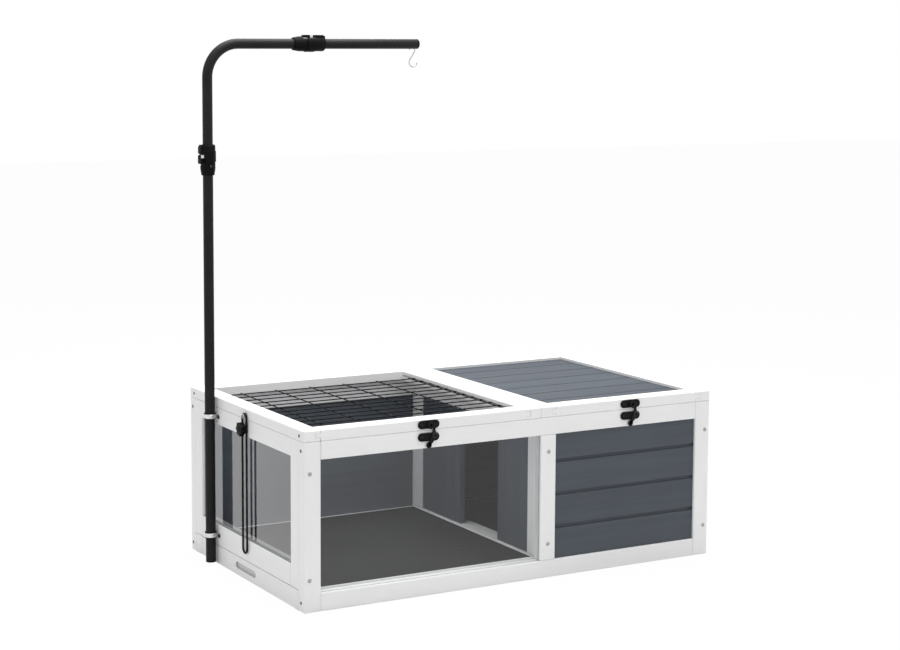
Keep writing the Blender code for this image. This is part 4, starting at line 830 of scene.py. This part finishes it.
def makeTubes():
    s = poleSettings
    low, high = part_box("pole_lower_tube")
    outer, inner = s["radius"], s["radius"] - s["wall"]
    shape = turned([(outer, low.z), (outer, high.z - s["ease"]), (outer - s["ease"], high.z),
                    (inner, high.z), (inner, low.z), (outer, low.z)], s["steps"])
    finishPiece("lowerTube", onPole(shape), tubeCoat, "house",
                "round", ["pole_lower_tube"])

    # the bent tube above the lower clamp: upright, bend and the start of the arm
    low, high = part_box("bent_tube")
    start = s["bentStart"]
    center = (s["x"] + s["bend"], s["y"], s["armLevel"] - s["bend"])
    path = [(s["x"], s["y"], start)]
    path += arcPoints(center, s["bend"], math.pi, math.pi / 2, s["bendSteps"], (1, 0, 0))
    path += [(high.x, s["y"], s["armLevel"])]
    upper = wireMesh([path], outer, s["bendSides"])
    # the swaged end that slides in the lower tube
    top = start + s["swageAbove"]
    spigot = turned([(0.0, low.z), (s["spigotTip"], low.z), (s["spigot"], low.z + s["spigotEase"]),
                     (s["spigot"], start - s["swageBelow"]), (s["swage"], top), (0.0, top)],
                    s["spigotSteps"])
    finishPiece("bentTube", joinShapes(upper, onPole(spigot)), tubeCoat, "mast",
                "round", ["bent_tube"])


# Pole clips

clipSettings = {
    "levels": (0.0654, 0.3286),
    "steps": 56,
    "bandHigh": 0.009,
    "bandEase": 0.0003,
    "inner": 0.0125,
    "outer": 0.0134,
    "rubberInner": 0.0113,
    "rubberHigh": 0.013,
    "rubberLip": 0.013,
    "rubberEase": 0.0004,
    "rubberSlack": 0.0001,    # the lips stand this far off the band
    "earSteps": 32,
    "earEnd": 0.0254,
    "earThick": 0.0018,
    "earEase": 0.0004,
    "earOut": 0.0003,
    "screwPlace": 0.0208,
    "screwOut": 0.0021,
    "screwTurn": 0.6,
    "screw": (0.0046, 0.003),
}


def ringAt(level, halfProfile):
    # (radius, height) points below the level, and the same ones above it, round the pole
    below = [(radius, level - high) for radius, high in halfProfile]
    above = [(radius, level + high) for radius, high in reversed(halfProfile)]
    return onPole(turned(below + above + below[:1], clipSettings["steps"]))


def clipEar(half):
    # a flat strip with a round end, pressed over at the band
    s = clipSettings
    ear = bmesh.new()
    bmesh.ops.create_circle(ear, cap_ends=True, segments=s["earSteps"], radius=half)
    moved = [v for v in ear.verts if v.co.x > -same]
    bmesh.ops.translate(ear, verts=moved, vec=(s["earEnd"] - half, 0, 0))
    thicken(ear, s["earThick"])
    easeEdges(ear, sharpEdges(ear), s["earEase"])
    return ear


def makeClips():
    s = clipSettings
    y = poleSettings["y"]
    half, lip = s["bandHigh"] / 2, s["rubberHigh"] / 2
    for name, level in zip(("lower", "upper"), s["levels"]):
        ease = s["bandEase"]
        band = ringAt(level, [(s["inner"], half), (s["outer"] - ease, half),
                              (s["outer"], half - ease)])
        # x of the ear runs towards the front of the house, z out of its side
        place = Matrix.Translation((left - s["earOut"], y, level)) @ Matrix((
            (0, 0, -1, 0), (-1, 0, 0, 0), (0, 1, 0, 0), (0, 0, 0, 1)))
        ear = move(clipEar(half), place)
        finishPiece(name + "ClipBand", joinShapes(band, ear), clipZinc, "house",
                    standsFor=[name + "_pole_clip"])
        ease, edge = s["rubberEase"], half + s["rubberSlack"]
        ring = ringAt(level, [(s["rubberInner"], lip), (s["rubberLip"] - ease, lip),
                              (s["rubberLip"], lip - ease), (s["rubberLip"], edge),
                              (s["inner"], edge)])
        finishPiece(name + "ClipRubber", ring, rubber, "house")
        place = facing((left - s["screwOut"], y - s["screwPlace"], level), outLeft, s["screwTurn"])
        screwSet(name + "ClipScrew", latchScrew, "house", [place], *s["screw"])


# Lid stay and its knob

staySettings = {
    "radius": 0.00225,
    "sides": 4,
    "out": 0.00365,
    "half": 0.0105,
    "arcSteps": 20,
    "screwOut": 0.0061,       # side of the house to the foot of the screw's head
    "screwLevel": 0.3548,
    "screwTurn": 0.4,
    "screw": (0.0048, 0.0019),
    "knobLevel": 0.3275,
    "ease": 0.0013,
    "capIn": 0.0008,          # the cap's foot lies this far inside the knob's face
    "capSteps": 36,
    # (radius, height)
    "cap": ((0.0, 0.0), (0.0068, 0.0), (0.0068, 0.0006), (0.006, 0.0012), (0.0, 0.0016)),
}


def makeStay():
    s = staySettings
    low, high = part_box("stay_loop")
    x = left - s["out"]
    y = (low.y + high.y) / 2
    top = high.z - s["radius"] - s["half"]
    bottom = low.z + s["radius"] + s["half"]
    path = []
    for level, start in ((top, 0), (bottom, math.pi)):
        path += arcPoints((x, y, level), s["half"], start, start + math.pi, s["arcSteps"],
                          (0, 1, 0))
    shape = wireMesh([path], s["radius"], s["sides"], closed=True)
    finishPiece("stayLoop", shape, wireCoat, "stay", "loop", ["stay_loop"])
    knob = copyOfNode("stay_knob", s["ease"], steps=3)
    finishPiece("starKnob", knob, blackPlastic, "knob", "round",
                ["stay_knob"])
    place = facing((left - s["screwOut"], y, s["screwLevel"]), outLeft, s["screwTurn"])
    screwSet("stayScrew", darkScrew, "mesh_lid", [place], *s["screw"])
    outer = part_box("stay_knob")[0].x
    place = facing((outer + s["capIn"], y, s["knobLevel"]), outLeft)
    cap = move(turned(s["cap"], s["capSteps"]), place)
    finishPiece("knobCap", cap, rubber, "knob")


# Latches

latchSettings = {
    "places": (("mesh", 0.28275), ("roof", 0.78455)),     # left of the house to the middle
    "plateWide": 0.0495,
    "plateHigh": 0.0172,
    "plateSteps": 48,
    "plateEase": 0.0004,
    "plateAngle": 40.0,       # degrees from which an edge is eased
    "rim": 0.0016,
    "rimHigh": 0.0009,
    "rimEase": 0.0003,
    "face": 0.0022,           # front of the house to the foot of a rim
    "keeperLevel": 0.359,
    "baseLevel": 0.3332,
    "screwSide": 0.016,
    "screwTurn": 0.5,
    "screw": (0.0031, 0.0012),
    "hubSide": 0.01365,
    "hubRise": 0.0024,
    # from the hub: place, radius, place, radius
    "leverBars": (((0.0, 0.0), 0.0071, (-0.0003, 0.0002), 0.0071),
                  ((0.0, 0.0), 0.005, (-0.002, 0.0135), 0.0023),
                  ((-0.002, 0.0135), 0.0023, (0.0024, 0.0227), 0.0038),
                  ((0.0, 0.0), 0.0062, (-0.0136, -0.0194), 0.0031),
                  ((-0.0136, -0.0194), 0.0063, (-0.0134, -0.0192), 0.0063)),
    "barSteps": 36,
    "barEase": 0.0005,
    "barFlat": 1.0,           # degrees between faces that count as one
    "washerHigh": 0.0007,
    # (radius, height)
    "washer": ((0.0, 0.0), (0.0056, 0.0), (0.0056, 0.0003), (0.005, 0.0007), (0.0, 0.0007)),
    "collar": ((0.0068, 0.0), (0.0078, 0.0), (0.0078, 0.0009), (0.0074, 0.0013),
               (0.0068, 0.0013), (0.0068, 0.0)),
    "collarIn": 0.0016,       # the boss stands this far through its collar
    "bossSide": 0.003,
    "bossDrop": 0.0012,
}


def plateRim():
    # the raised rim of a plate with round ends, its foot on the z plane
    s = latchSettings
    high = s["plateHigh"]
    shape = bmesh.new()
    bmesh.ops.create_circle(shape, cap_ends=True, segments=s["plateSteps"], radius=high / 2)
    for vert in shape.verts:
        if abs(vert.co.x) > same:
            vert.co.x += math.copysign((s["plateWide"] - high) / 2, vert.co.x)
    face = shape.faces[:]
    bmesh.ops.inset_region(shape, faces=face, thickness=s["rim"], use_even_offset=True,
                           use_boundary=True)
    bmesh.ops.delete(shape, geom=face, context="FACES_ONLY")
    thicken(shape, s["rimHigh"])
    easeEdges(shape, [e for e in sharpEdges(shape)
                      if all(v.co.z > s["rimHigh"] / 2 for v in e.verts)], s["rimEase"])
    return shape


def linkBar(first, firstRadius, second, secondRadius, thick):
    # a flat bar round two circles, its foot on the z plane
    s = latchSettings
    shape = bmesh.new()
    for (x, y), radius in ((first, firstRadius), (second, secondRadius)):
        for level in (0.0, thick):
            bmesh.ops.create_circle(shape, segments=s["barSteps"], radius=radius,
                                    matrix=Matrix.Translation((x, y, level)))
    hull = bmesh.ops.convex_hull(shape, input=shape.verts[:])
    spare = set(vertsOf(hull["geom_interior"] + hull["geom_unused"]))
    bmesh.ops.delete(shape, geom=list(spare), context="VERTS")
    bmesh.ops.dissolve_limit(shape, angle_limit=math.radians(s["barFlat"]),
                             verts=shape.verts, edges=shape.edges)
    easeEdges(shape, sharpEdges(shape), s["barEase"])
    return shape


def makeLatches():
    s = latchSettings
    for name, middle in s["places"]:
        lid, latch, center = name + "_lid", name + "_latch", left + middle
        for part, body, level, node in (("Keeper", lid, s["keeperLevel"], lid + "_keeper"),
                                        ("Base", "house", s["baseLevel"], latch + "_base")):
            plate = copyOfNode(node, s["plateEase"], s["plateAngle"])
            finishPiece(name + part, plate, latchCoat, body, "pressed",
                        [node])
            rim = move(plateRim(), facing((center, front - s["face"], level), outFront))
            finishPiece(name + part + "Rim", rim, latchCoat, body,
                        "pressed")
            place = facing((center - s["screwSide"], front - s["face"], level), outFront,
                           s["screwTurn"])
            screwSet(name + part + "Screw", latchScrew, body, [place], *s["screw"])
        low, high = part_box(name + "_latch_lever")
        thick = high.y - low.y - s["washerHigh"]
        hub = Vector((center + s["hubSide"], high.y, s["baseLevel"] + s["hubRise"]))
        lever = joinShapes(*(linkBar(*bar, thick) for bar in s["leverBars"]))
        finishPiece(name + "Lever", move(lever, facing(hub, outFront)), leverLitCoat, latch,
                    "pressed", [name + "_latch_lever"])
        # a cupped washer under the lever's stud, and a collar round the keeper's boss
        hub.y = low.y + s["washerHigh"]
        washer = move(turned(s["washer"]), facing(hub, outFront))
        finishPiece(name + "LeverWasher", washer, darkScrew, "house",
                    "turned")
        boss = (center + s["bossSide"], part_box(name + "_lid_keeper")[0].y + s["collarIn"],
                s["keeperLevel"] - s["bossDrop"])
        collar = move(turned(s["collar"]), facing(boss, outFront))
        finishPiece(name + "KeeperCollar", collar, latchCoat, lid, "turned")


# Tube clamps, caps and bush

clampSettings = {
    "ribRadius": 0.0174,
    "ribThick": 0.0006,
    "ribHalf": 0.0008,
    "ribGap": 0.95,           # half the angle that a rib leaves open
    "ribSteps": 40,
    "ribSides": 12,
    "poleRibs": (0.03, 0.051),
    "armRibs": (0.0293, 0.0421),
    "poleLow": 0.852,
    "armStart": 0.188,
    "screw": (0.0022, 0.0008),
    "screwRise": 0.0195,
    "screwWay": -86.0,        # degrees round the pole from the right
    "shellRadius": 0.0161,
    # of each clamp: piece, node, ease, the angle that counts as sharp, finish and slot
    "parts": (("ClampShell", "_clamp_body", 0.0005, 38.0, blackPlastic, "black_plastic"),
              ("ClampLever", "_clamp_lever", 0.0007, 38.0, blackPlastic, "black_plastic"),
              ("ClampPin", "_clamp_pin", 0.0004, 50.0, nylon, "white_nylon")),
    "armEase": 0.0003,
    "capEase": 0.0006,
    "caps": (("armCap", "arm_end_cap", "arm"), ("footCap", "pole_foot_cap", "house"),
             ("swivelBush", "swivel_bush", "swivel")),
}


def partRing(level):
    # a rounded rib round the z axis, open over the lever's side at +x
    s = clampSettings
    shape = bmesh.new()
    bmesh.ops.create_circle(shape, cap_ends=True, segments=s["ribSides"], radius=1.0)
    bmesh.ops.scale(shape, verts=shape.verts, vec=(s["ribThick"], s["ribHalf"], 1.0))
    move(shape, Matrix.Rotation(s["ribGap"], 4, "Z")
         @ Matrix.Translation((s["ribRadius"], 0, level)) @ Matrix.Rotation(math.pi / 2, 4, "X"))
    bmesh.ops.spin(shape, geom=shape.verts[:] + shape.edges[:] + shape.faces[:], cent=(0, 0, 0),
                   axis=(0, 0, 1), angle=2 * (math.pi - s["ribGap"]), steps=s["ribSteps"])
    return shape


def makeClamps():
    s = clampSettings
    p = poleSettings
    # each clamp's lever faces away from the house on the pole, and up on the arm
    upright = Matrix.Translation((p["x"], p["y"], s["poleLow"])) @ Matrix.Rotation(math.pi, 4, "Z")
    lying = Matrix.Translation((left + s["armStart"], p["y"], p["armLevel"])) @ Matrix((
        (0, 0, 1, 0), (0, -1, 0, 0), (1, 0, 0, 0), (0, 0, 0, 1)))
    for name, body, place in (("pole", "house", upright), ("arm", "mast", lying)):
        ribs = move(joinShapes(*map(partRing, s[name + "Ribs"])), place)
        finishPiece(name + "ClampRibs", ribs, blackPlastic, body, "round")
    turn = math.radians(s["screwWay"])
    way = Vector((math.cos(turn), math.sin(turn), 0))
    place = Vector((p["x"], p["y"], s["poleLow"] + s["screwRise"])) + way * s["shellRadius"]
    screwSet("poleClampScrew", darkScrew, "house", [facing(place, way)], *s["screw"])
    for name, *bodies in (("pole", "house", "pole_lever", "house"),
                          ("arm", "mast", "arm_lever", "mast")):
        for (part, node, ease, angle, finish, slot), body in zip(s["parts"], bodies):
            finishPiece(name + part, copyOfNode(name + node, ease, angle), finish, body,
                        "moulded", [name + node])
    arm = copyOfNode("arm_tube", s["armEase"])
    finishPiece("armTube", arm, tubeCoat, "arm", "round", ["arm_tube"])
    hook = copyOfNode("s_hook")
    finishPiece("lampHook", hook, hookSteel, "hook", "wire", ["s_hook"])
    for name, node, body in s["caps"]:
        finishPiece(name, copyOfNode(node, s["capEase"], steps=3), blackPlastic, body,
                    "moulded", [node])


# Hinges at the back

hingeSettings = {
    "axisOut": 0.003,         # back of the house to the hinge's axis
    "axisLevel": 0.34735,
    "long": 0.038,
    "barrel": 0.00252,
    "barrelEase": 0.0004,
    "barrelSteps": 28,
    "leaf": 0.00165,
    "leafEase": 0.00025,
    "leafAngle": 40.0,        # degrees from which an edge is eased
    "corner": 0.003,
    "cornerSteps": 5,
    "over": 0.0002,           # the fixed leaf reaches this far past the one on the frame
    "gap": 0.0003,
    "tall": 0.015,
    "screwSide": 0.0125,
    "screwDrop": 0.0095,
    "screwIn": 0.0002,
    "screwTurn": 0.5,
    "screw": (0.0026, 0.0009),
}


def barrel(start, end):
    # a knuckle along x with eased ends
    s = hingeSettings
    radius, ease = s["barrel"], s["barrelEase"]
    shape = turned([(0.0, start), (radius - ease, start), (radius, start + ease),
                    (radius, end - ease), (radius - ease, end), (0.0, end)], s["barrelSteps"])
    return move(shape, Matrix.Translation((0, back + s["axisOut"], s["axisLevel"]))
                @ Matrix.Rotation(math.pi / 2, 4, "Y"))


def fixedLeaf(middle):
    # a plate with its two lower corners rounded
    s = hingeSettings
    leaf = bmesh.new()
    bmesh.ops.create_cube(leaf, size=1.0)
    top = s["axisLevel"] - s["barrel"] - s["gap"]
    bottom = s["axisLevel"] - s["tall"] - s["over"]
    bmesh.ops.scale(leaf, verts=leaf.verts,
                    vec=(s["long"] + 2 * s["over"], s["leaf"], top - bottom))
    bmesh.ops.translate(leaf, verts=leaf.verts,
                        vec=(middle, back + s["leaf"] / 2, (top + bottom) / 2))
    corners = [e for e in leaf.edges if all(v.co.z < bottom + same for v in e.verts)
               and abs(e.verts[0].co.y - e.verts[1].co.y) > same]
    easeEdges(leaf, corners, s["corner"], s["cornerSteps"])
    return leaf


def makeHinges():
    s = hingeSettings
    third = s["long"] / 3
    for lid, end in (("mesh", "left"), ("mesh", "right"), ("roof", "left"), ("roof", "right")):
        name, node, lid = lid + end + "Hinge", lid + "_lid_" + end + "_hinge", lid + "_lid"
        low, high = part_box(node)
        middle = (low.x + high.x) / 2
        start = middle - s["long"] / 2
        # the fixed leaf with its two knuckles, over the ones on the frame
        fixed = joinShapes(fixedLeaf(middle), barrel(start, start + third - s["gap"]),
                           barrel(start + 2 * third + s["gap"], start + s["long"]))
        finishPiece(name + "Fixed", fixed, zinc, "house")
        moving = copyOfNode(node, s["leafEase"], s["leafAngle"])
        finishPiece(name + "Moving", moving, zinc, lid, standsFor=[node])
        for part, body, sign in (("Fixed", "house", -1), ("Moving", lid, 1)):
            places = [facing((middle + side * s["screwSide"], back + s["leaf"] - s["screwIn"],
                              s["axisLevel"] + sign * s["screwDrop"]), outBack,
                             s["screwTurn"] + side) for side in (-1, 1)]
            screwSet(name + part + "Screws", screwZinc, body, places, *s["screw"])


makeHinges()
makeScrews()
makeMesh()
makeTubes()
makeClips()
makeStay()
makeLatches()
makeClamps()
print("pieces made")


# Floor, backdrop, light and camera

stageSettings = {
    "floorHalf": 14.0,
    "floorShown": 0.965,      # how much of the floor is plain white to the camera
    "floorColor": (0.8, 0.8, 0.8),
    "worldColor": (1.0, 1.0, 1.0),
    "worldLight": 0.5,
}


def whiteToCamera(tree, lit, shown):
    # plain white to the camera and in reflections, the lit shader for everything else
    path = newNode(tree, "ShaderNodeLightPath")
    seen = combineMath(tree, "MAXIMUM", path.outputs["Is Camera Ray"],
                       combineMath(tree, "MAXIMUM", path.outputs["Is Glossy Ray"],
                                   path.outputs["Is Transmission Ray"]))
    glow = newNode(tree, "ShaderNodeEmission")
    return mixShaders(tree, combineMath(tree, "MULTIPLY", seen, shown), lit, glow.outputs[0])


def makeFloor():
    s = stageSettings
    finish, tree = newFinish("studioFloor")
    shader = tree.nodes["Principled BSDF"]
    for key, value in (("Base Color", s["floorColor"]), ("Roughness", 1.0),
                       ("Specular IOR Level", 0.0)):
        fill(tree, shader.inputs[key], value)
    surface = whiteToCamera(tree, shader.outputs[0], s["floorShown"])
    tree.links.new(surface, tree.nodes["Material Output"].inputs["Surface"])
    shape = bmesh.new()
    bmesh.ops.create_grid(shape, x_segments=1, y_segments=1, size=s["floorHalf"])
    addObject("studioFloor", meshOf("studioFloor", shape, finish))


def makeWorld():
    s = stageSettings
    world = bpy.data.worlds.new("studio")
    bpy.context.scene.world = world
    world.use_nodes = True
    tree = world.node_tree
    tree.nodes.clear()
    light = newNode(tree, "ShaderNodeBackground",
                    {"Color": s["worldColor"], "Strength": s["worldLight"]})
    output = newNode(tree, "ShaderNodeOutputWorld")
    tree.links.new(whiteToCamera(tree, light.outputs[0], 1.0), output.inputs["Surface"])


lampSettings = {
    # name: place, aim, width, power
    "overhead": ((0.0, 0.15, 3.2), (0.0, 0.05, 0.2), 2.4, 115.0),
    "front": ((0.5, -3.0, 3.0), (0.0, 0.0, 0.3), 2.2, 23.0),
    "left": ((-3.4, -0.8, 2.4), (0.0, 0.0, 0.3), 2.2, 13.0),
    "behind": ((0.8, 3.2, 2.4), (0.0, 0.0, 0.3), 2.4, 24.0),
}


def makeLamps():
    for name, (place, aim, width, power) in lampSettings.items():
        lamp = bpy.data.lights.new(name, "AREA")
        lamp.shape = "SQUARE"
        lamp.size = width
        lamp.energy = power
        addObject(name, lamp).matrix_world = facing(place, Vector(place) - Vector(aim))


cameraSettings = {
    "place": (-2.24575, -3.7436, 1.1385),
    "yaw": 28.609,
    "pitch": 6.333,
    "roll": 0.164,
    "lens": 78.7,
    "sensor": 36.0,
    "shift": (0.0561, -0.0727),
    "farthest": 200.0,
}


def makeCamera():
    s = cameraSettings
    camera = bpy.data.cameras.new("camera")
    camera.lens = s["lens"]
    camera.sensor_width = s["sensor"]
    camera.shift_x, camera.shift_y = s["shift"]
    camera.clip_end = s["farthest"]
    holder = addObject("camera", camera)
    holder.matrix_world = Matrix.Translation(s["place"])
    for turn, axis in ((-s["yaw"], "Z"), (90 - s["pitch"], "X"), (s["roll"], "Z")):
        holder.matrix_world @= Matrix.Rotation(math.radians(turn), 4, axis)
    bpy.context.scene.camera = holder


makeFloor()
makeWorld()
makeLamps()
makeCamera()
bpy.context.scene.view_settings.view_transform = "Standard"
print("stage, lamps and camera set")

bpy.context.view_layer.update()
